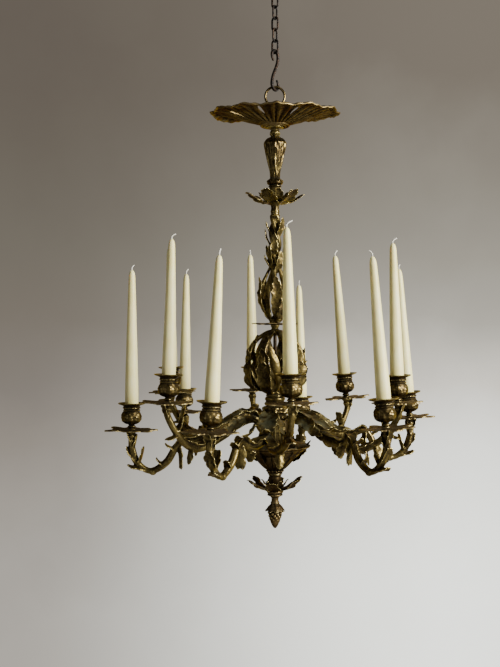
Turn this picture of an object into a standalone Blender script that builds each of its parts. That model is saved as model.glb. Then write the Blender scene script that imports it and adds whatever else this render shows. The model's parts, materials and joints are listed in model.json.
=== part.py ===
"""Twelve-light cast brass chandelier in the rococo manner, hung on a short chain.

Every stem piece is threaded on one tie rod and stacked from the top down. Six double-branch
arms meet the hub, and each branch carries a drip pan, a candle cup and a candle.
The origin is the hanging point, the inner top of the highest chain link. +Z is up.
"""
import bpy
import bmesh
from math import cos, pi, radians, sin, sqrt
from mathutils import Matrix, Vector

MM = 0.001
GAP = 0.3 * MM                    # clearance between pieces that touch

# chain, hook and ring
LINK_COUNT = 5
LINK_INNER = 19.4 * MM            # inner length of one link
LINK_WIDTH = 11.2 * MM            # centreline width of one link
LINK_WIRE = 3.4 * MM
CHAIN_TURN = -35.0                # degrees, plane of the highest link from the plane of the ring
HOOK_WIRE = 5.6 * MM
HOOK_DROP = 66.4 * MM             # from the top bend's centreline to the bottom bend's
HOOK_BEND = 9.2 * MM              # centreline radius of both bends
HOOK_CURL = 230.0                 # degrees each bend runs round
HOOK_TURN = CHAIN_TURN + 90.0     # the hook stands across the lowest link
RING_INNER = 28.0 * MM            # free diameter of the hanging ring
RING_WIRE = 4.5 * MM

# tie rod
EYE_INNER = 10.0 * MM
EYE_WIRE = 4.0 * MM
ROD_DIAMETER = 6.0 * MM
ROD_CLEARANCE = 0.5 * MM
EYE_TO_DISH = 26.0 * MM           # eye centre down to the dish's inner floor

# stem pieces, top to bottom
DISH_RADIUS = 106.0 * MM
DISH_DEPTH = 19.0 * MM
DISH_SHEET = 2.4 * MM
DISH_LOBES = 12
DISH_SLOTS = 8
DISH_SLOT_TURN = 27.0             # degrees, the first slot from +X
DISH_SLOT_REACH = 0.63            # middle of a slot, as a share of the dish's radius
KNOP_HEIGHT = 127.0 * MM
KNOP_RADIUS = 18.7 * MM
CALYX_HEIGHT = 23.0 * MM
CALYX_SPREAD = 49.0 * MM
CALYX_LEAVES = 6
VINE_HEIGHT = 90.0 * MM           # plain stem above the cage
VINE_RADIUS = 9.0 * MM
CAGE_HEIGHT = 92.0 * MM
CAGE_RADIUS = 21.0 * MM
CAGE_STRAPS = 5
DISC_RADIUS = 39.0 * MM
DISC_THICKNESS = 2.6 * MM
NECK_RADIUS = 7.5 * MM
CROWN_HEIGHT = 120.0 * MM
CROWN_RADIUS = 46.5 * MM
CROWN_STRAPS = 6
HUB_HEIGHT = 79.0 * MM
HUB_RADIUS = 20.5 * MM
BOWL_HEIGHT = 50.0 * MM
BOWL_RADIUS = 56.0 * MM
LOWER_CALYX_HEIGHT = 26.0 * MM
LOWER_CALYX_SPREAD = 47.0 * MM
FINIAL_HEIGHT = 66.0 * MM
FINIAL_RADIUS = 12.4 * MM

# arms and lights
ARM_REACH = 240.0 * MM            # from the axis to an average low light
ARM_ROOT_DROP = 42.0 * MM         # hub top down to the middle of the arm roots
ARM_ROOT_RADIUS = 8.0 * MM
FORK_REACH = 96.0 * MM            # where the trunk ends inside the fork
BRANCH_START = 86.4 * MM          # where both branches start inside the trunk
BRANCH_RADIUS = 5.6 * MM
PAN_RADIUS = 44.0 * MM
PAN_THICKNESS = 2.0 * MM
PAN_LOBES = 7
CUP_HEIGHT = 43.0 * MM
SPIGOT_RADIUS = 3.0 * MM
SPIGOT_LENGTH = 7.0 * MM
BORE_DEPTH = 28.0 * MM
CANDLE_DIAMETER = 22.0 * MM
CUP_BOWL_RADIUS = CANDLE_DIAMETER / 2 + 4.4 * MM
CUP_RIM_RADIUS = CANDLE_DIAMETER / 2 + 10.7 * MM
CANDLE_LENGTH = 236.0 * MM
CANDLE_CLEARANCE = 0.5 * MM
WICK_LENGTH = 9.0 * MM

# Each arm ends in a low and a high light. A light is its angle in degrees, its reach from the
# axis as a share of ARM_REACH, its rim's height over the hub's top in millimetres, its lean to
# the right in degrees, and how deep its candle stands in millimetres. The castings are hand
# bent, so no two are quite alike.
ARMS = [
    ((8.3, 0.977, 6.1, -4.3, 25.0), (41.1, 0.728, 33.9, -4.3, 23.0)),
    ((76.1, 1.012, -16.5, -1.0, 20.0), (100.0, 0.883, 42.4, -1.0, 22.0)),
    ((131.1, 1.053, 2.1, 0.9, 20.0), (155.0, 0.832, 46.5, -0.9, 25.0)),
    ((188.2, 0.995, -8.4, 0.0, 18.0), (216.1, 0.869, 42.8, 1.4, 27.0)),
    ((246.3, 1.024, 9.0, 3.0, 27.0), (274.9, 0.873, 47.7, -1.6, 24.0)),
    ((309.6, 1.032, 10.5, -4.7, 27.0), (336.2, 0.877, 39.9, -1.9, 27.0)),
]

STEM = bpy.data.collections.new("chandelier")
CUTTERS = bpy.data.collections.new("cutters")


def clear_scene():
    for thing in list(bpy.data.objects):
        bpy.data.objects.remove(thing)
    bpy.context.scene.collection.children.link(STEM)
    bpy.context.scene.collection.children.link(CUTTERS)


# ------------------------------------------------------------------ materials
def make_material(name, colour, roughness, metallic):
    material = bpy.data.materials.new(name)
    material.use_nodes = True
    shader = material.node_tree.nodes["Principled BSDF"]
    shader.inputs["Base Color"].default_value = (*colour, 1.0)
    shader.inputs["Roughness"].default_value = roughness
    shader.inputs["Metallic"].default_value = metallic
    return material


BRASS = make_material("aged_brass", (0.20, 0.15, 0.07), 0.42, 1.0)
IRON = make_material("black_iron", (0.03, 0.028, 0.026), 0.6, 1.0)
WAX = make_material("ivory_wax", (0.86, 0.82, 0.66), 0.45, 0.0)


# ------------------------------------------------------------------ shape helpers
def polar(angle, reach, height):
    """A point at an angle in degrees, a reach from the axis and a height."""
    turn = radians(angle)
    return Vector((reach * cos(turn), reach * sin(turn), height))


def smooth(points, per_span):
    """Points along a smooth curve through the given ones."""
    knots = [Vector(p) for p in points]
    knots = [2 * knots[0] - knots[1]] + knots + [2 * knots[-1] - knots[-2]]
    path = []
    for i in range(1, len(knots) - 2):
        a, b, c, d = knots[i - 1:i + 3]
        for step in range(per_span):
            t = step / per_span
            path.append(0.5 * (2 * b + (c - a) * t + (2 * a - 5 * b + 4 * c - d) * t * t
                               + (3 * b - a - 3 * c + d) * t * t * t))
    path.append(knots[-2])
    return path


def add_object(name, data):
    thing = bpy.data.objects.new(name, data)
    STEM.objects.link(thing)
    return thing


def evaluated_mesh(thing):
    """The object's own mesh with its modifiers applied, its loose caps welded."""
    bpy.context.view_layer.update()
    graph = bpy.context.evaluated_depsgraph_get()
    mesh = bpy.data.meshes.new_from_object(thing.evaluated_get(graph))
    shape = bmesh.new()
    shape.from_mesh(mesh)
    bmesh.ops.remove_doubles(shape, verts=shape.verts, dist=1e-6)
    shape.to_mesh(mesh)
    shape.free()
    return mesh


def bake(thing):
    """Replace an object by a plain mesh object of the same name and place."""
    mesh = evaluated_mesh(thing)
    name, place = thing.name, thing.matrix_world.copy()
    bpy.data.objects.remove(thing)
    plain = add_object(name, mesh)
    plain.matrix_world = place
    return plain


def tube(name, path, radii, closed=False, fine=False):
    """A round bar along a path; radii is one value or one for each point."""
    if not isinstance(radii, list):
        radii = [radii] * len(path)
    curve = bpy.data.curves.new(name, "CURVE")
    curve.dimensions = "3D"
    curve.bevel_depth = max(radii)
    curve.bevel_resolution = 2 if fine else 1
    curve.use_fill_caps = not closed
    spline = curve.splines.new("POLY")
    spline.points.add(len(path) - 1)
    for point, place, radius in zip(spline.points, path, radii):
        point.co = (*place, 1.0)
        point.radius = radius / max(radii)
    spline.use_cyclic_u = closed
    return bake(add_object(name, curve))


def turned(name, profile, steps=16):
    """A turned solid from (radius, height) pairs down its outer side and back up its bore."""
    mesh = bpy.data.meshes.new(name)
    shape = bmesh.new()
    verts = [shape.verts.new((radius, 0, height)) for radius, height in profile]
    for i in range(len(verts) - 1):
        shape.edges.new((verts[i], verts[i + 1]))
    if profile[0][0] > 0:
        shape.edges.new((verts[-1], verts[0]))
    shape.to_mesh(mesh)
    shape.free()
    thing = add_object(name, mesh)
    screw = thing.modifiers.new("turn", "SCREW")
    screw.steps = screw.render_steps = steps
    screw.use_merge_vertices = True
    screw.merge_threshold = 0.00001
    return bake(thing)


def blade(name, spine, widths, thickness, across):
    """A leaf as a loft of flat sections; across is the direction of the leaf's width."""
    mesh = bpy.data.meshes.new(name)
    shape = bmesh.new()
    rings = []
    for i, place in enumerate(spine):
        before, after = spine[max(i - 1, 0)], spine[min(i + 1, len(spine) - 1)]
        normal = (after - before).cross(across).normalized() * thickness / 2
        side = across.normalized() * widths[i] / 2
        corners = (place + side + normal, place - side + normal,
                   place - side - normal, place + side - normal)
        rings.append([shape.verts.new(corner) for corner in corners])
    for near, far in zip(rings, rings[1:]):
        for i in range(4):
            j = (i + 1) % 4
            shape.faces.new((near[i], near[j], far[j], far[i]))
    shape.faces.new(rings[0][::-1])
    shape.faces.new(rings[-1])
    bmesh.ops.recalc_face_normals(shape, faces=shape.faces)
    shape.to_mesh(mesh)
    shape.free()
    return add_object(name, mesh)


def combine(base, others, operation="UNION"):
    """Join the others to the base, or cut them from it, as one solid."""
    for other in others:
        CUTTERS.objects.link(other)
        STEM.objects.unlink(other)
        other.hide_render = True
        other.display_type = "WIRE"
        step = base.modifiers.new(operation.lower(), "BOOLEAN")
        step.operation = operation
        step.solver = "EXACT"
        step.object = other
    solid = bake(base)
    for other in others:
        bpy.data.objects.remove(other)
    return solid


def finish(thing, material, body_parent):
    """Give a piece its material and soft shading and hang it on its body."""
    thing.data.materials.clear()
    thing.data.materials.append(material)
    thing.data.shade_smooth()
    thing.data.set_sharp_from_angle(angle=radians(40))
    place = thing.matrix_world.copy()
    thing.parent = body_parent
    thing.matrix_parent_inverse = body_parent.matrix_world.inverted()
    thing.matrix_world = place
    return thing


def pivot(name, height, parent=None):
    """An empty at a height on the main axis, on a swing's axis."""
    empty = bpy.data.objects.new(name, None)
    STEM.objects.link(empty)
    empty.parent = parent
    empty.location = (0, 0, height - (parent.matrix_world.translation.z if parent else 0))
    bpy.context.view_layer.update()
    return empty


def recentre(thing, height):
    """Put an object's origin on the main axis at a height, its shape unmoved."""
    thing.data.transform(Matrix.Translation((0, 0, -height)))
    thing.location.z += height
    bpy.context.view_layer.update()


# ------------------------------------------------------------------ chain, hook and ring
LINK_PITCH = LINK_INNER - GAP


def link_centre(index):
    return -LINK_INNER / 2 - index * LINK_PITCH


def wire_below(index):
    """Height of a link's lowest wire, which the next link or the hook swings about."""
    return link_centre(index) - LINK_INNER / 2 - LINK_WIRE / 2


def link_path(centre, plane):
    """Centreline of one long link: two straight sides and two round ends."""
    half = LINK_INNER / 2 + LINK_WIRE / 2
    bend = LINK_WIDTH / 2
    aside, back = cos(radians(plane)), sin(radians(plane))
    path = []
    for end in (1, -1):
        for step in range(7):
            turn = pi * step / 6
            across = end * bend * cos(turn)
            height = centre + end * (half - bend + bend * sin(turn))
            path.append(Vector((across * aside, across * back, height)))
    return path


def make_chain():
    parents = []
    for i in range(LINK_COUNT):
        axis_height = wire_below(i - 1) if i else 0.0
        holder = pivot(f"chain_pivot_{i + 1}", axis_height, parents[-1] if parents else None)
        bar = tube(f"chain_link_{i + 1}", link_path(link_centre(i), CHAIN_TURN + 90 * (i % 2)),
                   LINK_WIRE / 2, closed=True)
        recentre(bar, axis_height)
        finish(bar, IRON, holder)
        parents.append(holder)
    return parents[-1]


HOOK_TOP = link_centre(LINK_COUNT - 1) - LINK_INNER / 2 + GAP + HOOK_WIRE / 2
HOOK_BOTTOM = HOOK_TOP - HOOK_DROP


def make_hook(parent):
    """An S hook: one bend over the last link, one under the ring, a slanting shank between."""
    upper, lower = HOOK_TOP - HOOK_BEND, HOOK_BOTTOM + HOOK_BEND
    flat = []
    for step in range(10):
        turn = radians(HOOK_CURL * (1 - step / 9))
        flat.append((HOOK_BEND * cos(turn), upper + HOOK_BEND * sin(turn)))
    for share in (0.25, 0.5, 0.75):
        flat.append((HOOK_BEND * cos(pi * share), upper + share * (lower - upper)))
    for step in range(10):
        turn = radians(180 + HOOK_CURL * step / 9)
        flat.append((HOOK_BEND * cos(turn), lower + HOOK_BEND * sin(turn)))
    turn = radians(HOOK_TURN)
    path = [Vector((across * cos(turn), across * sin(turn), height)) for across, height in flat]
    taper = [HOOK_WIRE / 2] * len(path)
    taper[0] = taper[-1] = HOOK_WIRE * 0.36
    hook = tube("suspension_hook", path, taper, fine=True)
    holder = pivot("hook_pivot", wire_below(LINK_COUNT - 1), parent)
    recentre(hook, wire_below(LINK_COUNT - 1))
    finish(hook, IRON, holder)
    return holder


RING_MAJOR = RING_INNER / 2 + RING_WIRE / 2
RING_TOP_INNER = HOOK_BOTTOM + HOOK_WIRE / 2 + GAP
RING_CENTRE = RING_TOP_INNER - RING_INNER / 2


def make_ring(parent):
    path = []
    for step in range(24):
        turn = 2 * pi * step / 24
        path.append(Vector((RING_MAJOR * cos(turn), 0, RING_CENTRE + RING_MAJOR * sin(turn))))
    ring = tube("suspension_ring", path, RING_WIRE / 2, closed=True, fine=True)
    axis_height = HOOK_BOTTOM       # the ring rocks about the hook's wire
    holder = pivot("ring_pivot", axis_height, parent)
    recentre(ring, axis_height)
    finish(ring, BRASS, holder)
    return holder


# ------------------------------------------------------------------ stem stations
EYE_CENTRE = RING_CENTRE - RING_INNER / 2 + GAP - EYE_INNER / 2
SWING_AXIS = RING_CENTRE - RING_MAJOR         # the chandelier rocks about the ring's lowest wire
BORE = ROD_DIAMETER / 2 + ROD_CLEARANCE

DISH_FLOOR = EYE_CENTRE - EYE_TO_DISH
KNOP_TOP = DISH_FLOOR - DISH_SHEET - GAP
CALYX_TOP = KNOP_TOP - KNOP_HEIGHT - GAP
VINE_TOP = CALYX_TOP - CALYX_HEIGHT - GAP
VINE_BOTTOM = VINE_TOP - VINE_HEIGHT - CAGE_HEIGHT
DISC_TOP = VINE_BOTTOM - GAP
CROWN_TOP = DISC_TOP - DISC_THICKNESS - GAP
HUB_TOP = CROWN_TOP - CROWN_HEIGHT - GAP
BOWL_TOP = HUB_TOP - HUB_HEIGHT - GAP
LOWER_CALYX_TOP = BOWL_TOP - BOWL_HEIGHT - GAP
FINIAL_TOP = LOWER_CALYX_TOP - LOWER_CALYX_HEIGHT - GAP
ROD_END = FINIAL_TOP - 0.45 * FINIAL_HEIGHT


def spindle(name, top, height, outline, steps=16):
    """A turned sleeve on the tie rod; outline has (radius, share of the height) pairs."""
    profile = [(radius, top - share * height) for radius, share in outline]
    profile += [(BORE, top - height), (BORE, top)]
    return turned(name, profile, steps=steps)


def make_tie_rod(parent):
    eye_major = EYE_INNER / 2 + EYE_WIRE / 2
    path = []
    for step in range(18):
        turn = 2 * pi * step / 18
        path.append(Vector((0, eye_major * cos(turn), EYE_CENTRE + eye_major * sin(turn))))
    rod = tube("tie_rod", path, EYE_WIRE / 2, closed=True)
    start = EYE_CENTRE - EYE_INNER / 2 - EYE_WIRE * 0.35
    half = ROD_DIAMETER / 2
    profile = [(0, start), (half, start), (half, ROD_END), (0, ROD_END)]
    shank = turned("shank", profile, steps=12)
    rod = combine(rod, [shank])
    recentre(rod, SWING_AXIS)
    finish(rod, BRASS, parent)


def make_dish(parent):
    """The leaf dish over the stem: a scalloped shell that opens upward, pierced with slots."""
    rise = ((0.03, 0.0), (0.24, 0.0), (0.42, 0.30), (0.62, 0.62), (0.82, 0.92), (0.93, 1.0),
            (1.0, 0.80))
    top = [(max(BORE, share * DISH_RADIUS), DISH_FLOOR + level * DISH_DEPTH)
           for share, level in rise]
    under = [(radius, height - DISH_SHEET) for radius, height in top]
    dish = turned("canopy_dish", top[::-1][-1:] + under[:1] + under[1:] + top[::-1][:-1],
                  steps=36)
    for vert in dish.data.vertices:
        reach = sqrt(vert.co.x ** 2 + vert.co.y ** 2)
        share = (reach / DISH_RADIUS) ** 3
        angle = Vector((1, 0)).angle_signed(Vector((vert.co.x, vert.co.y)), 0)
        wave = cos(DISH_LOBES * angle)
        grow = 1 + 0.028 * wave * share
        vert.co.x *= grow
        vert.co.y *= grow
        vert.co.z += 0.12 * DISH_DEPTH * wave * share
    slots = []
    for i in range(DISH_SLOTS):
        angle = 360 * i / DISH_SLOTS + DISH_SLOT_TURN
        middle = polar(angle, DISH_SLOT_REACH * DISH_RADIUS, DISH_FLOOR + 0.45 * DISH_DEPTH)
        slot = blade(f"slot_{i}", [middle - polar(angle, 15 * MM, 0), middle,
                                   middle + polar(angle, 15 * MM, 0)],
                     [1.6 * MM, 5.0 * MM, 8.0 * MM], 26 * MM, polar(angle + 90, 1, 0))
        slots.append(slot)
    dish = combine(dish, slots, "DIFFERENCE")
    recentre(dish, SWING_AXIS)
    finish(dish, BRASS, parent)


def make_knop(parent):
    full = KNOP_RADIUS
    outline = [(0.78 * full, 0.0), (0.78 * full, 0.05), (0.40 * full, 0.075),
               (0.42 * full, 0.12), (0.36 * full, 0.16), (0.72 * full, 0.19),
               (full, 0.24), (full, 0.28), (0.82 * full, 0.40), (0.62 * full, 0.52),
               (0.46 * full, 0.64), (0.46 * full, 0.72), (0.72 * full, 0.75),
               (0.72 * full, 0.80), (0.5 * full, 0.83), (0.48 * full, 1.0)]
    knop = spindle("top_knop", KNOP_TOP, KNOP_HEIGHT, outline)
    recentre(knop, SWING_AXIS)
    finish(knop, BRASS, parent)


def leaf_ring(name, core, angles, spread, base_height, tip_height, width):
    """Leaves that spring from a core piece, curling up to their tips."""
    leaves = []
    for i, angle in enumerate(angles):
        reach = spread * (1.0 if i % 2 == 0 else 0.86)
        rise = tip_height - base_height
        spine = [polar(angle, 0.10 * reach, base_height), polar(angle, 0.42 * reach, base_height),
                 polar(angle, 0.72 * reach, base_height + 0.25 * rise),
                 polar(angle, 0.92 * reach, base_height + 0.7 * rise),
                 polar(angle, reach, tip_height)]
        widths = [0.55 * width, width, 0.95 * width, 0.6 * width, 0.18 * width]
        leaves.append(blade(f"{name}_leaf_{i}", spine, widths, 2.2 * MM,
                            polar(angle + 90, 1, 0)))
    return combine(core, leaves)


def make_calyx(parent):
    outline = [(1.1 * NECK_RADIUS, 0.0), (1.5 * NECK_RADIUS, 0.16), (1.2 * NECK_RADIUS, 0.3),
               (0.9 * NECK_RADIUS, 0.45), (0.9 * NECK_RADIUS, 1.0)]
    core = spindle("upper_leaf_calyx", CALYX_TOP, CALYX_HEIGHT, outline)
    angles = [360 * i / CALYX_LEAVES + 10 for i in range(CALYX_LEAVES)]
    base = CALYX_TOP - 0.2 * CALYX_HEIGHT
    calyx = leaf_ring("upper_leaf_calyx", core, angles, CALYX_SPREAD, base,
                      base + 24 * MM, 19 * MM)
    recentre(calyx, SWING_AXIS)
    finish(calyx, BRASS, parent)


def make_vine_stem(parent):
    """A tube wound with a vine, opening below into a cage of leaf straps round the rod."""
    cage_top = VINE_TOP - VINE_HEIGHT
    profile = [(NECK_RADIUS, VINE_TOP), (0.8 * VINE_RADIUS, VINE_TOP - 0.3 * VINE_HEIGHT),
               (VINE_RADIUS, VINE_TOP - 0.6 * VINE_HEIGHT), (VINE_RADIUS, cage_top),
               (0.7 * VINE_RADIUS, cage_top - 6 * MM), (BORE, cage_top - 6 * MM),
               (BORE, VINE_TOP)]
    stem = turned("vine_stem", profile)
    foot = turned("cage_foot", [(1.1 * VINE_RADIUS, VINE_BOTTOM + 6 * MM),
                                (1.1 * VINE_RADIUS, VINE_BOTTOM), (BORE, VINE_BOTTOM),
                                (BORE, VINE_BOTTOM + 6 * MM)])
    parts = [foot]
    for i in range(CAGE_STRAPS):
        angle = 360 * i / CAGE_STRAPS + 180
        shares = ((0.0, 0.34), (0.16, 0.66), (0.34, 1.0), (0.58, 0.98), (0.82, 0.66), (0.98, 0.36))
        spine = [polar(angle + 30 * down, CAGE_RADIUS * out, cage_top - down * CAGE_HEIGHT)
                 for down, out in shares]
        path = smooth(spine, 2)
        parts.append(tube(f"strap_{i}", path, 3.2 * MM))
    vine = []
    for step in range(19):
        down = step / 18
        reach = 0.8 * VINE_RADIUS + 2.2 * MM
        vine.append(polar(300 * down + 40, reach, VINE_TOP - (0.06 + 0.9 * down) * VINE_HEIGHT))
    parts.append(tube("winding", vine, 3.2 * MM))
    for share, angle, reach in ((0.25, 350, 20 * MM), (0.35, 170, 17 * MM)):
        height = VINE_TOP - share * VINE_HEIGHT
        spine = [polar(angle, 0.3 * reach, height - 22 * MM), polar(angle, 0.7 * reach, height - 8 * MM),
                 polar(angle, reach, height + 6 * MM)]
        parts.append(blade(f"leaf_{angle}", spine, [8 * MM, 10 * MM, 2 * MM], 2.4 * MM,
                           polar(angle + 90, 1, 0)))
    stem = combine(stem, parts)
    recentre(stem, SWING_AXIS)
    finish(stem, BRASS, parent)


def lobed_plate(name, radius, lobes, depth, thickness, hole):
    """A thin plate with a wavy outline and a round hole, its underside at height 0."""
    curve = bpy.data.curves.new(name, "CURVE")
    curve.dimensions = "2D"
    curve.fill_mode = "BOTH"
    curve.extrude = thickness / 2
    for outline in ("rim", "hole"):
        count = 4 * lobes if outline == "rim" else 8
        spline = curve.splines.new("POLY")
        spline.points.add(count - 1)
        for i, point in enumerate(spline.points):
            turn = 2 * pi * i / count
            wave = depth * abs(cos(lobes * turn / 2)) - depth * 0.3 * cos(2 * turn)
            reach = radius - depth + wave if outline == "rim" else hole
            point.co = (reach * cos(turn), reach * sin(turn), 0, 1)
        spline.use_cyclic_u = True
    plate = bake(add_object(name, curve))
    plate.data.transform(Matrix.Translation((0, 0, thickness / 2)))
    return plate


def make_disc(parent):
    disc = lobed_plate("leaf_disc", DISC_RADIUS, 6, 5 * MM, DISC_THICKNESS, BORE)
    disc.location.z = DISC_TOP - DISC_THICKNESS
    bpy.context.view_layer.update()
    finish(disc, BRASS, parent)


def make_crown(parent):
    """Six scrolled straps round the bare rod, between an upper neck and a lower collar."""
    bottom = CROWN_TOP - CROWN_HEIGHT
    neck_length = 12 * MM
    neck = turned("scroll_crown", [(NECK_RADIUS, CROWN_TOP), (NECK_RADIUS, CROWN_TOP - neck_length),
                                   (BORE, CROWN_TOP - neck_length), (BORE, CROWN_TOP)])
    collar_radius = 0.8 * HUB_RADIUS
    collar = turned("collar", [(collar_radius, bottom + 7 * MM), (collar_radius, bottom),
                               (BORE, bottom), (BORE, bottom + 7 * MM)])
    parts = [collar]
    span = CROWN_HEIGHT - neck_length
    for i in range(CROWN_STRAPS):
        angle = 360 * i / CROWN_STRAPS - 3
        shares = ((0.0, 0.12), (0.10, 0.40), (0.28, 0.84), (0.52, 1.0), (0.74, 0.88),
                  (0.90, 0.55), (0.98, 0.26))
        spine = [polar(angle + 12 * down, CROWN_RADIUS * out,
                       CROWN_TOP - 0.7 * neck_length - down * span) for down, out in shares]
        parts.append(tube(f"scroll_{i}", smooth(spine, 2), 3.4 * MM))
    crown = combine(neck, parts)
    recentre(crown, SWING_AXIS)
    finish(crown, BRASS, parent)


def make_hub(parent):
    full = HUB_RADIUS
    outline = [(0.7 * full, 0.0), (0.82 * full, 0.03), (0.82 * full, 0.12), (0.6 * full, 0.16),
               (1.05 * full, 0.22), (1.05 * full, 0.32), (full, 0.36), (full, 1.0)]
    hub = spindle("hub", HUB_TOP, HUB_HEIGHT, outline, steps=20)
    recentre(hub, SWING_AXIS)
    finish(hub, BRASS, parent)


def make_bowl(parent):
    full = BOWL_RADIUS
    outline = [(0.92 * full, 0.0), (full, 0.05), (full, 0.12), (0.86 * full, 0.2),
               (0.60 * full, 0.42), (0.46 * full, 0.62), (0.30 * full, 0.84),
               (0.26 * full, 0.9), (0.26 * full, 1.0)]
    bowl = spindle("hub_bowl", BOWL_TOP, BOWL_HEIGHT, outline, steps=20)
    recentre(bowl, SWING_AXIS)
    finish(bowl, BRASS, parent)


def make_lower_calyx(parent):
    outline = [(11 * MM, 0.0), (10.5 * MM, 0.4), (7 * MM, 0.8), (9 * MM, 1.0)]
    core = spindle("lower_leaf_calyx", LOWER_CALYX_TOP, LOWER_CALYX_HEIGHT, outline)
    angles = [360 * i / CALYX_LEAVES + 25 for i in range(CALYX_LEAVES)]
    base = LOWER_CALYX_TOP - 0.88 * LOWER_CALYX_HEIGHT
    calyx = leaf_ring("lower_leaf_calyx", core, angles, LOWER_CALYX_SPREAD, base,
                      base + 18 * MM, 18 * MM)
    recentre(calyx, SWING_AXIS)
    finish(calyx, BRASS, parent)


def make_finial(parent):
    """The screwed finial that closes the stack: a cup, a leafy flare and a berry cluster."""
    full = FINIAL_RADIUS
    blind = ROD_END - GAP
    shares = [(0.8, 0.0), (1.14, 0.03), (1.14, 0.16), (0.5, 0.22), (0.5, 0.34), (0.9, 0.44),
              (1.4, 0.56), (1.0, 0.62), (1.0, 0.74), (0.78, 0.87), (0.3, 0.98), (0.0, 1.0)]
    profile = [(full * out, FINIAL_TOP - down * FINIAL_HEIGHT) for out, down in shares]
    profile = [(0, blind), (BORE, blind), (BORE, FINIAL_TOP)] + profile
    finial = turned("berry_finial", profile, steps=16)
    recentre(finial, SWING_AXIS)
    finish(finial, BRASS, parent)


# ------------------------------------------------------------------ arms and lights
PAN_TO_RIM = PAN_THICKNESS + GAP + CUP_HEIGHT


def light_frame(light):
    """Where a light's pan sits: its place, and its small lean in the plane of the ring."""
    angle, reach, rim, lean, _ = light
    seat = polar(angle, reach * ARM_REACH, HUB_TOP + rim * MM - PAN_TO_RIM)
    return Matrix.Translation(seat) @ Matrix.Rotation(radians(lean), 4, "Y")


def make_arm(number, low, high, parent):
    """One casting: a trunk from the hub that forks into a deep low scroll and a high branch."""
    low_frame, high_frame = light_frame(low), light_frame(high)
    low_seat, high_seat = low_frame.translation, high_frame.translation
    trunk_angle = (low[0] + high[0]) / 2
    root = HUB_TOP - ARM_ROOT_DROP
    start = HUB_RADIUS + GAP

    def toward(light, share, reach, height):
        angle = trunk_angle + share * (light[0] - trunk_angle)
        return polar(angle, reach * light[1] * ARM_REACH, height)

    fork = polar(trunk_angle, FORK_REACH, root - 22 * MM)
    trunk_path = [polar(trunk_angle, start, root)]
    trunk_path += smooth([polar(trunk_angle, start + 4 * MM, root),
                          polar(trunk_angle, start + 20 * MM, root + 6 * MM),
                          polar(trunk_angle, 66 * MM, root - 2 * MM), fork], 3)
    trunk_radii = [ARM_ROOT_RADIUS - 1.4 * MM * i / (len(trunk_path) - 1)
                   for i in range(len(trunk_path))]
    arm = tube(f"arm_{number}", trunk_path, trunk_radii)

    below = low_seat.z - GAP
    axis_down = low_frame.to_3x3() @ Vector((0, 0, -1))
    low_path = smooth([polar(trunk_angle, BRANCH_START, root - 18 * MM),
                       toward(low, 0.45, 0.56, root - 27 * MM),
                       toward(low, 0.75, 0.68, below - 22 * MM),
                       toward(low, 0.88, 0.76, below - 52 * MM),
                       toward(low, 0.96, 0.87, below - 66 * MM),
                       toward(low, 1.0, 0.965, below - 52 * MM),
                       low_seat + axis_down * 24 * MM], 2)
    low_path += [low_seat + axis_down * 10 * MM, low_seat + axis_down * 1.5 * GAP]
    below = high_seat.z - GAP
    axis_down = high_frame.to_3x3() @ Vector((0, 0, -1))
    high_path = smooth([polar(trunk_angle, BRANCH_START, root - 18 * MM),
                        toward(high, 0.45, 0.64, below - 76 * MM),
                        toward(high, 0.8, 0.80, below - 70 * MM),
                        toward(high, 0.97, 0.92, below - 48 * MM),
                        high_seat + axis_down * 20 * MM], 2)
    high_path += [high_seat + axis_down * 10 * MM, high_seat + axis_down * 1.5 * GAP]
    parts = []
    for label, path in (("low", low_path), ("high", high_path)):
        radii = [BRANCH_RADIUS] * len(path)
        parts.append(tube(f"{label}_{number}", path, radii))
    parts += arm_leaves(number, trunk_angle, trunk_path, low_path, high_path)
    arm = combine(arm, parts)
    bores = []
    for label, frame in (("low", low_frame), ("high", high_frame)):
        depth = SPIGOT_LENGTH + GAP
        hole = SPIGOT_RADIUS + GAP
        bore = turned(f"bore_{label}", [(0, GAP), (hole, GAP), (hole, -depth), (0, -depth)], steps=12)
        bore.matrix_world = frame
        bores.append(bore)
    arm = combine(arm, bores, "DIFFERENCE")
    recentre(arm, SWING_AXIS)
    finish(arm, BRASS, parent)


def arm_leaves(number, angle, trunk, low, high):
    """The big leaf over the fork and the spurs that break from the branches."""
    side = polar(angle + 90, 1, 0)
    lift = Vector((0, 0, 1))
    leaves = [blade(f"back_{number}", [trunk[2] + lift * 5 * MM, trunk[4] + lift * 10 * MM,
                                       trunk[6] + lift * 12 * MM, trunk[8] + lift * 9 * MM,
                                       trunk[9] + lift * 2 * MM],
                    [10 * MM, 17 * MM, 19 * MM, 14 * MM, 6 * MM], 9 * MM, side)]
    for tag, path, at, out, rise in (("a", low, 4, 20 * MM, -17 * MM), ("b", low, 11, 15 * MM, 6 * MM),
                                     ("c", high, 6, 20 * MM, -4 * MM)):
        place = path[at]
        outward = Vector((place.x, place.y, 0)).normalized()
        spine = [place - outward * 2 * MM, place + outward * 0.6 * out + lift * 0.4 * rise,
                 place + outward * out + lift * rise]
        leaves.append(blade(f"spur_{tag}_{number}", spine, [9 * MM, 8 * MM, 2 * MM], 3 * MM,
                            lift.cross(outward)))
    return leaves


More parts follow.
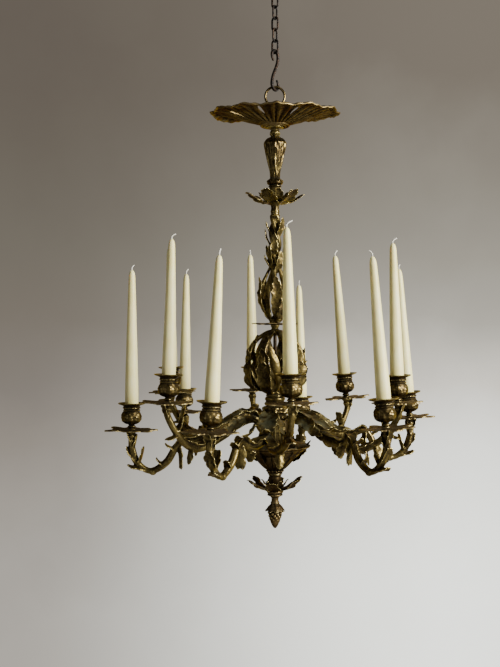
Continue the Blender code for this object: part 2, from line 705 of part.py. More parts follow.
def shared_light_meshes():
    """The pan, cup and candle meshes, each drawn once about its own axis."""
    pan = lobed_plate("pan", PAN_RADIUS, PAN_LOBES, 5 * MM, PAN_THICKNESS, SPIGOT_RADIUS + GAP)
    foot = PAN_THICKNESS + GAP
    rim = foot + CUP_HEIGHT
    bore = CANDLE_DIAMETER / 2 + CANDLE_CLEARANCE
    floor = rim - BORE_DEPTH
    cup_profile = [(0, floor), (bore, floor), (bore, rim - 8 * MM), (CUP_RIM_RADIUS - 1.5 * MM, rim),
                   (CUP_RIM_RADIUS, rim), (CUP_BOWL_RADIUS - 2 * MM, rim - 9 * MM),
                   (CUP_BOWL_RADIUS, rim - 19 * MM),
                   (CUP_BOWL_RADIUS, floor + 3 * MM), (0.75 * CUP_BOWL_RADIUS, floor - 4 * MM),
                   (5 * MM, floor - 9 * MM), (6.6 * MM, foot + 2 * MM), (6.6 * MM, foot),
                   (SPIGOT_RADIUS, foot), (SPIGOT_RADIUS, -SPIGOT_LENGTH + GAP),
                   (0, -SPIGOT_LENGTH + GAP)]
    cup = turned("cup", cup_profile, steps=10)
    half = CANDLE_DIAMETER / 2
    shoulder = CANDLE_LENGTH - 14 * MM
    wick = 0.9 * MM
    candle_profile = [(0, CANDLE_LENGTH + WICK_LENGTH), (wick, CANDLE_LENGTH + WICK_LENGTH),
                      (wick, CANDLE_LENGTH), (0.26 * half, CANDLE_LENGTH - 2 * MM),
                      (0.49 * half, shoulder), (0.70 * half, 0.66 * CANDLE_LENGTH),
                      (half, 0.16 * CANDLE_LENGTH), (half, 0), (0, 0)]
    candle = turned("candle", candle_profile, steps=10)
    meshes = [thing.data for thing in (pan, cup, candle)]
    for thing in (pan, cup, candle):
        bpy.data.objects.remove(thing)
    return meshes


def make_lights(parent):
    pan_mesh, cup_mesh, candle_mesh = shared_light_meshes()
    lights = [light for pair in ARMS for light in pair]
    for number, light in enumerate(lights, 1):
        frame = light_frame(light)
        pan = add_object(f"drip_pan_{number}", pan_mesh)
        pan.matrix_world = frame @ Matrix.Rotation(radians(light[0] + 47 * number), 4, "Z")
        finish(pan, BRASS, parent)
        cup = add_object(f"candle_cup_{number}", cup_mesh)
        cup.matrix_world = frame
        finish(cup, BRASS, parent)
        candle = add_object(f"candle_{number}", candle_mesh)
        candle.matrix_world = frame @ Matrix.Translation((0, 0, PAN_TO_RIM - light[4] * MM))
        finish(candle, WAX, parent)


def main():
    clear_scene()
    last_link = make_chain()
    hook = make_hook(last_link)
    ring = make_ring(hook)
    body = pivot("chandelier_pivot", SWING_AXIS, ring)
    for make in (make_tie_rod, make_dish, make_knop, make_calyx, make_vine_stem, make_disc,
                 make_crown, make_hub, make_bowl, make_lower_calyx, make_finial):
        make(body)
    for number, (low, high) in enumerate(ARMS, 1):
        make_arm(number, low, high, body)
    make_lights(body)


main()
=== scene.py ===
import json
import random
from math import atan2, cos, exp, pi, radians, sin, sqrt, tau

import bmesh
import bpy
from mathutils import Matrix, Vector, noise


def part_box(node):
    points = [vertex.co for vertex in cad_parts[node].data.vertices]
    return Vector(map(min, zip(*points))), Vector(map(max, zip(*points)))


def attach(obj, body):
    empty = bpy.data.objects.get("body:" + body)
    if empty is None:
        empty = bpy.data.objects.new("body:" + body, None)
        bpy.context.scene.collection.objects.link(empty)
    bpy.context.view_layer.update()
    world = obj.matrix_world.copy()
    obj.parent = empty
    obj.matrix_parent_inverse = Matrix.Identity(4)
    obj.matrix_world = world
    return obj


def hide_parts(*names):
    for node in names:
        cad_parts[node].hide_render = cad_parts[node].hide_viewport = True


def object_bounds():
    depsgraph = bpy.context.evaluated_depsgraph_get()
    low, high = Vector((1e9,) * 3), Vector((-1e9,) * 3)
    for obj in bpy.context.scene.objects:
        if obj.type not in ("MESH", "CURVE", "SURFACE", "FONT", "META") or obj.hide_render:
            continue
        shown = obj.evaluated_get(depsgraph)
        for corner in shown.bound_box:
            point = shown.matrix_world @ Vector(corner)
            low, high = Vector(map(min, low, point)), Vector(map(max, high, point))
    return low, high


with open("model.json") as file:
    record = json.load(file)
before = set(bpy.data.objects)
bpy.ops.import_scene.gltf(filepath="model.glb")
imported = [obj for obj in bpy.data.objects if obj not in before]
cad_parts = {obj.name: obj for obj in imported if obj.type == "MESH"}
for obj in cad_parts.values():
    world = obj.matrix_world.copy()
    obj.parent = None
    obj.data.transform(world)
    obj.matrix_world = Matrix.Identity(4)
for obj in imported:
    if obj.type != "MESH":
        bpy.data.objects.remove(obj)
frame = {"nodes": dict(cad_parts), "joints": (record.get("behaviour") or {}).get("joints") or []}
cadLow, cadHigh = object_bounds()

mm = 0.001
draw = random.Random(1870)                # every irregularity comes from this one seed
lightCount, armCount, linkCount = 12, 6, 5


# ---------- places read off the frame
def heights(node):
    low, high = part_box(node)
    return low.z, high.z


def around(angle, reach, height):         # angle in degrees, reach from the stem's axis
    turn = radians(angle)
    return Vector((reach * cos(turn), reach * sin(turn), height))


hubTop = heights("hub")[1]
liftAxis = {joint["child"]: Vector(joint["axis"]) for joint in frame["joints"] if joint["type"] == "slide"}


def lightFrame(number):
    # a light's own frame: z up its candle, the origin under the middle of its drip pan
    cup, pan = frame["nodes"][f"candle_cup_{number}"], frame["nodes"][f"drip_pan_{number}"]
    corners = {tuple(round(c, 5) for c in vert.co) for vert in cup.data.vertices}
    middle = sum((Vector(c) for c in corners), Vector()) / len(corners)
    axis = liftAxis[f"candle_{number}"].normalized()
    lowest = min((vert.co - middle).dot(axis) for vert in pan.data.vertices)
    seat = middle + axis * lowest
    side = Vector((0, 1, 0)).cross(axis).normalized()
    turn = Matrix((side, axis.cross(side), axis)).transposed().to_4x4()
    return Matrix.Translation(seat) @ turn


lightFrames = {number: lightFrame(number) for number in range(1, lightCount + 1)}
print("frame read, hub top at", round(hubTop, 4))


# ---------- tools for castings
def route(points, perSpan):               # a smooth curve through the points
    knots = [Vector(point) for point in points]
    knots = [2 * knots[0] - knots[1]] + knots + [2 * knots[-1] - knots[-2]]
    path = []
    for i in range(1, len(knots) - 2):
        a, b, c, d = knots[i - 1:i + 3]
        for step in range(perSpan):
            t = step / perSpan
            path.append(0.5 * (2 * b + (c - a) * t + (2 * a - 5 * b + 4 * c - d) * t * t
                               + (3 * b - a - 3 * c + d) * t * t * t))
    return path + [knots[-2]]


def profileOf(pairs, perSpan=5):          # a smooth turned outline from (radius, height) pairs
    return [(max(point.x, 0), point.y) for point in route([(r, h, 0) for r, h in pairs], perSpan)]


def ease(low, high, value):
    share = min(max((value - low) / (high - low), 0), 1)
    return share * share * (3 - 2 * share)


def skin(shape, rings, loop=False, caps=True):
    pairs = list(zip(rings, rings[1:])) + ([(rings[-1], rings[0])] if loop else [])
    for near, far in pairs:
        count = max(len(near), len(far))
        for k in range(count):
            n = (k + 1) % count
            if len(near) == 1:
                shape.faces.new((near[0], far[n], far[k]))
            elif len(far) == 1:
                shape.faces.new((near[k], near[n], far[0]))
            else:
                shape.faces.new((near[k], near[n], far[n], far[k]))
    if caps and not loop:
        if len(rings[0]) > 1:
            shape.faces.new(rings[0][::-1])
        if len(rings[-1]) > 1:
            shape.faces.new(rings[-1])


def carried(path, closed, up):            # along, side and rise at each point, without twist
    count = len(path)
    frames, side = [], None
    for i in range(count):
        before = path[i - 1] if i or closed else path[0]
        after = path[(i + 1) % count] if i < count - 1 or closed else path[-1]
        along = (after - before).normalized()
        if side is None:
            side = along.cross(up)
            side = side if side.length > 0.01 else along.cross(Vector((1, 0, 0)))
        side = (side - along * side.dot(along)).normalized()
        frames.append((along, side, side.cross(along)))
    return frames


def addBar(shape, path, girth, sides=14, closed=False, relief=None, up=Vector((0, 0, 1)), flat=1.0):
    # a bar along a path: girth is its radius or a function of the share of the way
    rings, count = [], len(path)
    for i, (place, (_, side, rise)) in enumerate(zip(path, carried(path, closed, up))):
        share = i / count if closed else i / (count - 1)
        radius = girth(share) if callable(girth) else girth
        ring = []
        for k in range(sides):
            turn = tau * k / sides
            size = radius * (1 + (relief(share, turn) if relief else 0))
            ring.append(shape.verts.new(place + side * cos(turn) * size + rise * sin(turn) * size * flat))
        rings.append(ring)
    skin(shape, rings, closed)


def addTurned(shape, profile, sides, relief=None, place=None, loop=False):
    # a turned piece; relief adds to the radius at a share of the outline and a turn
    rings, last = [], len(profile) - 1
    for i, (radius, height) in enumerate(profile):
        ring = []
        for k in range(1 if radius < 1e-6 else sides):
            turn = tau * k / sides
            reach = radius + (relief(i / last, turn) if relief else 0)
            spot = Vector((reach * cos(turn), reach * sin(turn), height)) if radius >= 1e-6 else Vector((0,
                    0, height))
            ring.append(shape.verts.new(place @ spot if place else spot))
        rings.append(ring)
    skin(shape, rings, loop)


def leafOutline(share, teeth, depth):     # half width of a toothed leaf, 0 to 1
    body = (sin(pi * min(share * 0.93 + 0.07, 1) ** 0.85)) ** 0.75
    if teeth:
        lobe = sin(pi * min((share * teeth) % 1 * 0.92 + 0.04, 1)) ** 0.55
        body *= 1 - depth * (1 - lobe) * ease(0.02, 0.2, share)
    return max(body, 0.04)


def addLeaf(shape, points, width, side, teeth=4, depth=0.4, cup=0.3, thick=2.0 * mm, rib=0.35, lean=0.5):
    # a cast acanthus leaf: width is its half width, side the way it spreads
    steps = max(teeth, 2) * 7 + 5
    spans = len(points) - 1
    path = route(points, max(steps // spans, 3))
    across = 8
    upper, lower = [], []
    for i, (place, (along, spread, rise)) in enumerate(zip(path, carried(path, False, along0(path, side)))):
        share = i / (len(path) - 1)
        reach = width * leafOutline(share, teeth, depth)
        full = width * leafOutline(share, 0, 0)
        rowUp, rowDown = [], []
        for k in range(across + 1):
            v = 2 * k / across - 1
            vein = 0.10 * full * cos(tau * (share * max(teeth, 2) - 0.5 * abs(v))) * abs(v) * (1 - share)
            bend = cup * full * v * v + vein
            ridge = rib * thick * exp(-(v / 0.22) ** 2) * (1 - share)
            body = place + spread * reach * v + along * lean * reach * abs(v) + rise * bend
            half = thick * (1 - 0.45 * v * v) * (1 - 0.35 * share) / 2
            rowUp.append(shape.verts.new(body + rise * half))
            rowDown.append(shape.verts.new(body - rise * (half + ridge)))
        upper.append(rowUp)
        lower.append(rowDown)
    rings = [up + down[::-1] for up, down in zip(upper, lower)]
    skin(shape, rings)


def along0(path, side):                   # the up direction that makes a leaf spread along side
    along = (path[1] - path[0]).normalized()
    return side.cross(along)


def addBall(shape, centre, radius, sides=10, stretch=1.0):
    profile = [(radius * sin(pi * k / 7), -radius * stretch * cos(pi * k / 7)) for k in range(8)]
    addTurned(shape, profile, sides, place=Matrix.Translation(centre))


def leafRelief(turn, share, count, start, end, phase=0.0, teeth=4):
    # 0 to 1: leaves chased on a turned piece, standing between two shares of its outline
    span = (share - start) / (end - start)
    if not 0 < span < 1:
        return 0.0
    local = ((turn * count / tau + phase) % 1) * 2 - 1
    half = leafOutline(span, teeth, 0.35)
    raised = ease(half, half - 0.28, abs(local)) if abs(local) < half else 0.0
    return raised * (0.62 + 0.38 * exp(-(local / 0.10) ** 2)
                     + 0.16 * cos(span * teeth * tau - abs(local) * 5))


def pieceFrom(name, shape, look, body, nodes, voxel=0.0, place=None, angle=50):
    bmesh.ops.recalc_face_normals(shape, faces=shape.faces)
    mesh = bpy.data.meshes.new(name)
    shape.to_mesh(mesh)
    shape.free()
    piece = bpy.data.objects.new(name, mesh)
    bpy.context.scene.collection.objects.link(piece)
    if voxel:                             # fuse the parts as one casting
        fuse = piece.modifiers.new("fuse", "REMESH")
        fuse.mode, fuse.voxel_size, fuse.adaptivity = "VOXEL", voxel, 0.0
        soften = piece.modifiers.new("soften", "SMOOTH")
        soften.factor, soften.iterations = 0.35, 2
        applyAll(piece)
    piece.data.materials.clear()
    piece.data.materials.append(look)
    piece.data.shade_smooth()
    if not voxel:
        piece.data.set_sharp_from_angle(angle=radians(angle))
    if place is not None:
        piece.matrix_world = place
    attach(piece, body)
    if nodes:
        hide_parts(*nodes)
    return piece


def applyAll(piece):
    bpy.context.view_layer.update()
    graph = bpy.context.evaluated_depsgraph_get()
    made = bpy.data.meshes.new_from_object(piece.evaluated_get(graph))
    piece.modifiers.clear()
    piece.data = made


# ---------- finishes
def nodeOf(tree, kind, inputs=None, **settings):
    node = tree.nodes.new(kind)
    for key, value in settings.items():
        setattr(node, key, value)
    for key, value in (inputs or {}).items():
        if isinstance(value, bpy.types.NodeSocket):
            tree.links.new(value, node.inputs[key])
        else:
            node.inputs[key].default_value = value
    return node


def sumOf(tree, kind, *values, clamp=False):
    return nodeOf(tree, "ShaderNodeMath", dict(enumerate(values)), operation=kind,
                  use_clamp=clamp).outputs[0]


def rangeOf(tree, value, low, high, toLow=0.0, toHigh=1.0):
    return nodeOf(tree, "ShaderNodeMapRange", {0: value, 1: low, 2: high, 3: toLow, 4: toHigh},
                  interpolation_type="SMOOTHSTEP").outputs[0]


def blendOf(tree, share, first, second, kind="MIX"):
    node = nodeOf(tree, "ShaderNodeMix", {0: share, 6: first, 7: second}, data_type="RGBA", blend_type=kind)
    return node.outputs[2]


def grainOf(tree, coordinates, scale, detail=4.0, rough=0.55, distortion=0.0):
    return nodeOf(tree, "ShaderNodeTexNoise", {"Vector": coordinates, "Scale": scale, "Detail": detail,
                                               "Roughness": rough, "Distortion": distortion}).outputs["Fac"]


def newLook(name):
    look = bpy.data.materials.new(name)
    look.use_nodes = True
    tree = look.node_tree
    shader = tree.nodes["Principled BSDF"]
    coordinates = tree.nodes.new("ShaderNodeTexCoord")
    return look, tree, shader, coordinates


def bumpOf(tree, shader, height, distance, strength=1.0):
    bump = nodeOf(tree, "ShaderNodeBump", {"Height": height, "Distance": distance, "Strength": strength})
    tree.links.new(bump.outputs[0], shader.inputs["Normal"])


def castBrass(name, finish):
    # old cast brass: grime and painted shade in the hollows, wear and a painted highlight on the high
    # spots, verdigris on faces that look up
    look, tree, shader, coordinates = newLook(name)
    place = coordinates.outputs["Object"]
    cloud = grainOf(tree, place, 38.0, 5.0, 0.6)
    speck = grainOf(tree, place, 260.0, 3.0, 0.6)
    fine = grainOf(tree, place, 900.0, 2.0, 0.5)
    point = tree.nodes.new("ShaderNodeNewGeometry").outputs["Pointiness"]
    shaped = sumOf(tree, "ADD", point, rangeOf(tree, speck, 0.3, 0.7, -0.018, 0.018))
    raised = rangeOf(tree, shaped, finish["hollow"], finish["crest"])
    crest = rangeOf(tree, shaped, finish["crest"] - 0.01, finish["crest"] + 0.06)
    tone = blendOf(tree, rangeOf(tree, cloud, 0.35, 0.68), (*finish["deep"], 1), (*finish["body"], 1))
    # painted shade: the hollows are painted near black, real grime and painted shade together
    tone = blendOf(tree, raised, (*finish["grime_and_painted_shade"], 1), tone)
    # painted highlight: the crests are painted bright, real wear and a painted highlight together
    wearAndPaintedHighlight = sumOf(tree, "MULTIPLY", crest, rangeOf(tree, cloud, 0.3, 0.6, 0.35, 1.0), clamp=True)
    tone = blendOf(tree, wearAndPaintedHighlight, tone, (*finish["wear_and_painted_highlight"], 1))
    upward = nodeOf(tree, "ShaderNodeSeparateXYZ", {0: coordinates.outputs["Normal"]}).outputs[2]
    patch = grainOf(tree, place, 55.0, 6.0, 0.65, 0.4)
    green = sumOf(tree, "MULTIPLY", rangeOf(tree, upward, 0.15, 0.85), rangeOf(tree, patch, 0.42, 0.58))
    apart = nodeOf(tree, "ShaderNodeSeparateXYZ", {0: place})
    fromStem = nodeOf(tree, "ShaderNodeVectorMath",
                      {0: nodeOf(tree, "ShaderNodeCombineXYZ",
                                 {0: apart.outputs[0], 1: apart.outputs[1]}).outputs[0]},
                      operation="LENGTH").outputs["Value"]
    near = rangeOf(tree, fromStem, finish["greenReach"], finish["greenReach"] * 0.7, 0.12, 1.0)
    green = sumOf(tree, "MULTIPLY", sumOf(tree, "MULTIPLY", green, near), finish["greenShare"], clamp=True)
    tone = blendOf(tree, green, tone, (*finish["green"], 1))
    tree.links.new(tone, shader.inputs["Base Color"])
    shader.inputs["Specular Tint"].default_value = (*finish["edge"], 1)
    shader.inputs["Specular IOR Level"].default_value = 0.3
    metal = sumOf(tree, "SUBTRACT", rangeOf(tree, raised, 0.0, 1.0, finish["metalLow"], 1.0),
                  sumOf(tree, "MULTIPLY", green, 0.75), clamp=True)
    tree.links.new(metal, shader.inputs["Metallic"])
    rough = sumOf(tree, "ADD", rangeOf(tree, cloud, 0.3, 0.7, finish["rough"], finish["rough"] + 0.16),
                  sumOf(tree, "ADD", rangeOf(tree, raised, 0.0, 1.0, 0.22, 0.0),
                        sumOf(tree, "MULTIPLY", green, 0.3)), clamp=True)
    tree.links.new(rough, shader.inputs["Roughness"])
    height = sumOf(tree, "ADD", sumOf(tree, "MULTIPLY", speck, 0.7), sumOf(tree, "MULTIPLY", fine, 0.3))
    bumpOf(tree, shader, height, finish["grain"])
    return look


# in each finish the hollows' colour is grime with painted shade, and the crests' colour is wear with a
# painted highlight
brassLooks = {
    "plain": {"grime_and_painted_shade": (0.010, 0.007, 0.004), "deep": (0.068, 0.047, 0.018), "body": (0.250, 0.190, 0.062),
              "wear_and_painted_highlight": (0.700, 0.580, 0.250), "green": (0.085, 0.105, 0.072), "greenShare": 0.25,
              "greenReach": 9.0,
              "hollow": 0.462, "crest": 0.532, "rough": 0.25, "grain": 0.5 * mm, "metalLow": 0.55,
              "edge": (0.60, 0.46, 0.24)},
}
brassLooks["dish"] = {**brassLooks["plain"], "body": (0.270, 0.200, 0.088), "deep": (0.110, 0.078, 0.033),
                      "wear_and_painted_highlight": (0.240, 0.180, 0.070), "hollow": 0.440, "crest": 0.560, "rough": 0.42,
                      "metalLow": 0.94,
                      "edge": (0.42, 0.31, 0.16)}
brassLooks["stem"] = {**brassLooks["plain"], "body": (0.29, 0.220, 0.072), "greenShare": 0.15,
                      "rough": 0.22}
brassLooks["bowl"] = {**brassLooks["plain"], "body": (0.17, 0.115, 0.047), "deep": (0.065, 0.042, 0.019),
                      "greenShare": 0.35, "rough": 0.30}
# the arms' verdigris green is painted darker: painted shade over the leaves near the hub
brassLooks["arm"] = {**brassLooks["plain"], "green": (0.056, 0.068, 0.044), "greenShare": 0.60,
                     "greenReach": 0.125}
brassLooks["pan"] = {**brassLooks["plain"], "greenShare": 0.12, "body": (0.16, 0.115, 0.055),
                     "deep": (0.070, 0.048, 0.024),
                     "wear_and_painted_highlight": (0.340, 0.270, 0.120), "rough": 0.34}
brassLooks["cup"] = {**brassLooks["plain"], "body": (0.24, 0.175, 0.060), "deep": (0.070, 0.048, 0.019)}
brassLooks["ring"] = {**brassLooks["plain"], "body": (0.36, 0.26, 0.11), "hollow": 0.30, "greenShare": 0.1}


def blackIron(name, finish):
    look, tree, shader, coordinates = newLook(name)
    place = coordinates.outputs["Object"]
    cloud, speck = grainOf(tree, place, 120.0, 5.0, 0.65), grainOf(tree, place, 700.0, 3.0)
    tone = blendOf(tree, rangeOf(tree, cloud, 0.4, 0.66), (*finish["black"], 1), (*finish["rust"], 1))
    tree.links.new(tone, shader.inputs["Base Color"])
    tree.links.new(rangeOf(tree, speck, 0.3, 0.7, finish["rough"] - 0.1, finish["rough"] + 0.1),
                   shader.inputs["Roughness"])
    shader.inputs["Metallic"].default_value = 0.75
    bumpOf(tree, shader, sumOf(tree, "ADD", cloud, sumOf(tree, "MULTIPLY", speck, 0.4)), 0.35 * mm)
    return look


def candleWax(name, finish):
    look, tree, shader, coordinates = newLook(name)
    place = coordinates.outputs["Object"]
    stretched = nodeOf(tree, "ShaderNodeMapping", {0: place, 3: (1.0, 1.0, 0.12)}).outputs[0]
    streak = grainOf(tree, stretched, 160.0, 4.0, 0.6)
    cloud = grainOf(tree, place, 30.0, 3.0)
    tone = blendOf(tree, rangeOf(tree, cloud, 0.3, 0.7), (*finish["cream"], 1), (*finish["ivory"], 1))
    tone = blendOf(tree, rangeOf(tree, streak, 0.45, 0.75, 0.0, 0.35), tone, (*finish["streak"], 1))
    tree.links.new(tone, shader.inputs["Base Color"])
    tree.links.new(rangeOf(tree, streak, 0.3, 0.7, finish["rough"], finish["rough"] + 0.14),
                   shader.inputs["Roughness"])
    shader.inputs["Subsurface Weight"].default_value = 0.22
    shader.inputs["Subsurface Radius"].default_value = (1.0, 0.75, 0.45)
    shader.inputs["Subsurface Scale"].default_value = 4 * mm
    bumpOf(tree, shader, sumOf(tree, "ADD", streak, sumOf(tree, "MULTIPLY", cloud, 0.8)), 0.25 * mm, 0.6)
    return look


def cottonWick(name, finish):
    look, tree, shader, coordinates = newLook(name)
    fibre = grainOf(tree, coordinates.outputs["Object"], 1500.0, 3.0)
    tone = blendOf(tree, rangeOf(tree, fibre, 0.3, 0.7), (*finish["shade"], 1), (*finish["cotton"], 1))
    tree.links.new(tone, shader.inputs["Base Color"])
    shader.inputs["Roughness"].default_value = 0.85
    shader.inputs["Sheen Weight"].default_value = 0.3
    bumpOf(tree, shader, fibre, 0.15 * mm)
    return look


looks = {key: castBrass(f"cast brass {key}", finish) for key, finish in brassLooks.items()}
looks["iron"] = blackIron("black iron", {"black": (0.012, 0.010, 0.009), "rust": (0.050, 0.028, 0.016),
                                         "rough": 0.5})
looks["rod"] = blackIron("browned rod", {"black": (0.045, 0.030, 0.018), "rust": (0.16, 0.105, 0.05),
                                         "rough": 0.4})
looks["wax"] = candleWax("ivory wax", {"cream": (0.86, 0.765, 0.310), "ivory": (0.91, 0.835, 0.420),
                                       "streak": (0.90, 0.87, 0.67), "rough": 0.36})
looks["wick"] = cottonWick("cotton wick", {"shade": (0.62, 0.58, 0.48), "cotton": (0.88, 0.86, 0.80)})
print("finishes mixed:", len(looks))


# ---------- camera, light and room
room = {"lens": 48.6, "distance": 1.513, "left": 0.042, "eyeAboveHub": 0.1055}
camera = bpy.data.objects.new("camera", bpy.data.cameras.new("camera"))
camera.data.lens, camera.data.sensor_width = room["lens"], 36.0
camera.data.clip_end = 50
camera.location = (-room["left"], -room["distance"], hubTop + room["eyeAboveHub"])
camera.rotation_euler = (radians(90), 0, 0)
bpy.context.scene.collection.objects.link(camera)
bpy.context.scene.camera = camera


def addLamp(name, place, target, size, watts, colour):
    lamp = bpy.data.lights.new(name, "AREA")
    lamp.shape, lamp.size, lamp.size_y = "RECTANGLE", size[0], size[1]
    lamp.energy, lamp.color = watts, colour
    holder = bpy.data.objects.new(name, lamp)
    holder.location = place
    holder.rotation_mode = "QUATERNION"
    holder.rotation_quaternion = (Vector(target) - Vector(place)).to_track_quat("-Z", "Y")
    holder.visible_camera = False
    bpy.context.scene.collection.objects.link(holder)


centre = Vector((0, 0, hubTop))
addLamp("window", centre + Vector((2.3, -1.5, 0.9)), centre, (1.1, 1.9), 235, (1.0, 0.98, 0.92))
addLamp("fill", centre + Vector((-2.4, -2.0, 0.2)), centre, (2.0, 2.0), 9, (0.95, 0.96, 1.0))
addLamp("back", centre + Vector((0.9, 2.4, 1.2)), centre, (1.5, 1.0), 12, (1.0, 0.98, 0.95))


def rampOf(tree, value, stops):
    ramp = tree.nodes.new("ShaderNodeValToRGB")
    tree.links.new(value, ramp.inputs[0])
    while len(ramp.color_ramp.elements) < len(stops):
        ramp.color_ramp.elements.new(0.5)
    for element, (spot, colour) in zip(ramp.color_ramp.elements, stops):
        element.position, element.color = spot, (*colour, 1)
    return ramp.outputs[0]


def paintRoom(walls):
    # a plaster wall whose light is painted into the world: painted shade up and to the left, a paler
    # painted glow low and to the right, with the dim room opposite it; the same world also lights the scene
    world = bpy.data.worlds.new("room")
    bpy.context.scene.world = world
    world.use_nodes = True
    tree = world.node_tree
    sky = tree.nodes["Background"]
    coordinates = tree.nodes.new("ShaderNodeTexCoord").outputs["Generated"]
    apart = nodeOf(tree, "ShaderNodeSeparateXYZ", {0: coordinates})
    cloud = grainOf(tree, coordinates, 6.0, 5.0, 0.55)
    down = sumOf(tree, "ADD", rangeOf(tree, apart.outputs[2], 0.33, -0.33),
                 rangeOf(tree, cloud, 0.3, 0.7, -0.03, 0.03), clamp=True)
    across = rangeOf(tree, apart.outputs[0], -0.25, 0.25)
    tone = blendOf(tree, across, rampOf(tree, down, walls["left"]), rampOf(tree, down, walls["right"]))
    dim = rangeOf(tree, apart.outputs[1], -0.15, 0.55, walls["dim"], 1.0)
    tone = blendOf(tree, dim, (0, 0, 0, 1), tone)
    tree.links.new(tone, sky.inputs["Color"])
    sky.inputs["Strength"].default_value = 1.0


paintRoom({"left": ((0.0, (0.140, 0.119, 0.096)), (0.30, (0.183, 0.164, 0.132)),
                    (0.46, (0.208, 0.183, 0.150)),
                    (0.62, (0.255, 0.226, 0.195)), (0.78, (0.335, 0.298, 0.255)),
                    (1.0, (0.520, 0.485, 0.430))),
           "right": ((0.0, (0.225, 0.196, 0.158)), (0.30, (0.420, 0.390, 0.325)),
                     (0.46, (0.570, 0.540, 0.465)),
                     (0.62, (1.040, 0.990, 0.870)), (0.78, (1.600, 1.610, 1.490)),
                     (1.0, (2.050, 2.090, 1.940))),
           "dim": 0.22})


def layFloor(drop, span):
    shape = bmesh.new()
    bmesh.ops.create_grid(shape, x_segments=8, y_segments=8, size=span)
    mesh = bpy.data.meshes.new("floor")
    shape.to_mesh(mesh)
    shape.free()
    floor = bpy.data.objects.new("floor", mesh)
    floor.location.z = drop
    look, tree, shader, coordinates = newLook("pale floor")
    grain = grainOf(tree, coordinates.outputs["Object"], 4.0, 6.0)
    tone = blendOf(tree, grain, (0.50, 0.49, 0.46, 1), (0.58, 0.57, 0.54, 1))
    tree.links.new(tone, shader.inputs["Base Color"])
    shader.inputs["Roughness"].default_value = 0.7
    mesh.materials.append(look)
    bpy.context.scene.collection.objects.link(floor)


layFloor(cadLow.z - 1.9, 3.0)
print("camera, lamps and room in place")


# ---------- chain, hook, ring and rod
linkSizes = {"hammer": 0.05, "bend": 5.6 * mm, "wire": 1.7 * mm, "planeAngle": -35.0}


def forgedRelief(share, turn):
    return linkSizes["hammer"] * noise.noise(Vector((cos(tau * share) * 3, sin(tau * share) * 3, turn)))


def makeLinks():
    for number in range(1, linkCount + 1):
        low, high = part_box(f"chain_link_{number}")
        wire, bend = linkSizes["wire"], linkSizes["bend"]
        half = (high.z - low.z) / 2 - wire
        middle = (low + high) / 2
        plane = radians(linkSizes["planeAngle"] + 90 * ((number - 1) % 2))
        aside = Vector((cos(plane), sin(plane), 0))
        path = []
        for end in (1, -1):
            for step in range(13):
                turn = pi * step / 12
                path.append(middle + end * (bend * cos(turn) * aside
                                            + Vector((0, 0, half - bend + bend * sin(turn)))))
            start, stop = path[-1], Vector(path[-1])
            stop.z -= end * 2 * (half - bend)
            path += [start.lerp(stop, k / 6) for k in range(1, 6)]
        shape = bmesh.new()
        addBar(shape, path, wire * 0.985, 12, True, forgedRelief,
               Vector((-aside.y, aside.x, 0)))
        pieceFrom(f"chainLink{number}", shape, looks["iron"],
                  f"chain_link_{number}" if number < 4 else "lower_chain",
                  [f"chain_link_{number}"])


hookSizes = {"wire": 2.8 * mm, "bend": 9.2 * mm, "planeAngle": 55.0, "curl": 230}


def makeHook():
    low, high = heights("suspension_hook")
    wire, bend = hookSizes["wire"], hookSizes["bend"]
    top, bottom = high - wire - bend, low + wire + bend
    flat = []
    for step in range(25):
        turn = radians(hookSizes["curl"] * (1 - step / 24))
        flat.append((bend * cos(turn), top + bend * sin(turn)))
    for step in range(1, 10):
        flat.append((bend * cos(pi * step / 10), top + step / 10 * (bottom - top)))
    for step in range(25):
        turn = radians(180 + hookSizes["curl"] * step / 24)
        flat.append((bend * cos(turn), bottom + bend * sin(turn)))
    across = radians(hookSizes["planeAngle"])
    path = [Vector((out * cos(across), out * sin(across), height)) for out, height in flat]

    def girth(share):
        return wire * (0.60 + 0.40 * ease(0, 0.16, min(share, 1 - share)))
    shape = bmesh.new()
    addBar(shape, path, girth, 16, False, forgedRelief, Vector((sin(across), -cos(across), 0)))
    for tip in (path[0], path[-1]):
        addBall(shape, tip, wire * 0.72)
    pieceFrom("hook", shape, looks["iron"], "lower_chain", ["suspension_hook"])


def makeRing():
    low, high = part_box("suspension_ring")
    middle, wire = (low + high) / 2, (high.y - low.y) / 2
    major = (high.x - low.x) / 2 - wire
    path = [middle + Vector((major * cos(tau * k / 72), 0, major * sin(tau * k / 72))) for k in range(72)]
    shape = bmesh.new()
    addBar(shape, path, wire * 0.88, 18, True, forgedRelief, Vector((0, 1, 0)))
    pieceFrom("hangingRing", shape, looks["ring"], "ring", ["suspension_ring"])


rodSizes = {"eyeHole": 5.0 * mm, "eyeWire": 2.0 * mm, "rod": 3.0 * mm}


def makeRod():
    low, high = heights("tie_rod")
    wire, major = rodSizes["eyeWire"], rodSizes["eyeHole"] + rodSizes["eyeWire"]
    middle = high - major - wire * 0.9
    shape = bmesh.new()
    eye = [Vector((0, major * cos(tau * k / 40), middle + major * sin(tau * k / 40))) for k in range(40)]
    addBar(shape, eye, wire * 0.97, 12, True, forgedRelief, Vector((1, 0, 0)))
    top = middle - rodSizes["eyeHole"] - wire * 0.6
    half = rodSizes["rod"]
    profile = [(0, top), (half * 0.9, top), (half, top - 2 * mm), (half, low + 1 * mm), (half * 0.8, low),
               (0, low)]
    addTurned(shape, profile, 20)
    pieceFrom("tieRod", shape, looks["rod"], "chandelier", ["tie_rod"])


makeLinks()
makeHook()
makeRing()
makeRod()
print("chain, hook, ring and rod forged")


# ---------- the stem, from the top down
dish = {"lobes": 12, "flutes": 3, "flute": 1.2 * mm, "scallop": 0.040, "curl": 4.5 * mm, "sheet": 2.4 * mm,
        "slots": 8, "slotTurn": 25, "slotReach": 67 * mm, "slotLength": 33 * mm, "slotWidth": 5.6 * mm,
        "tilt": 0.085}


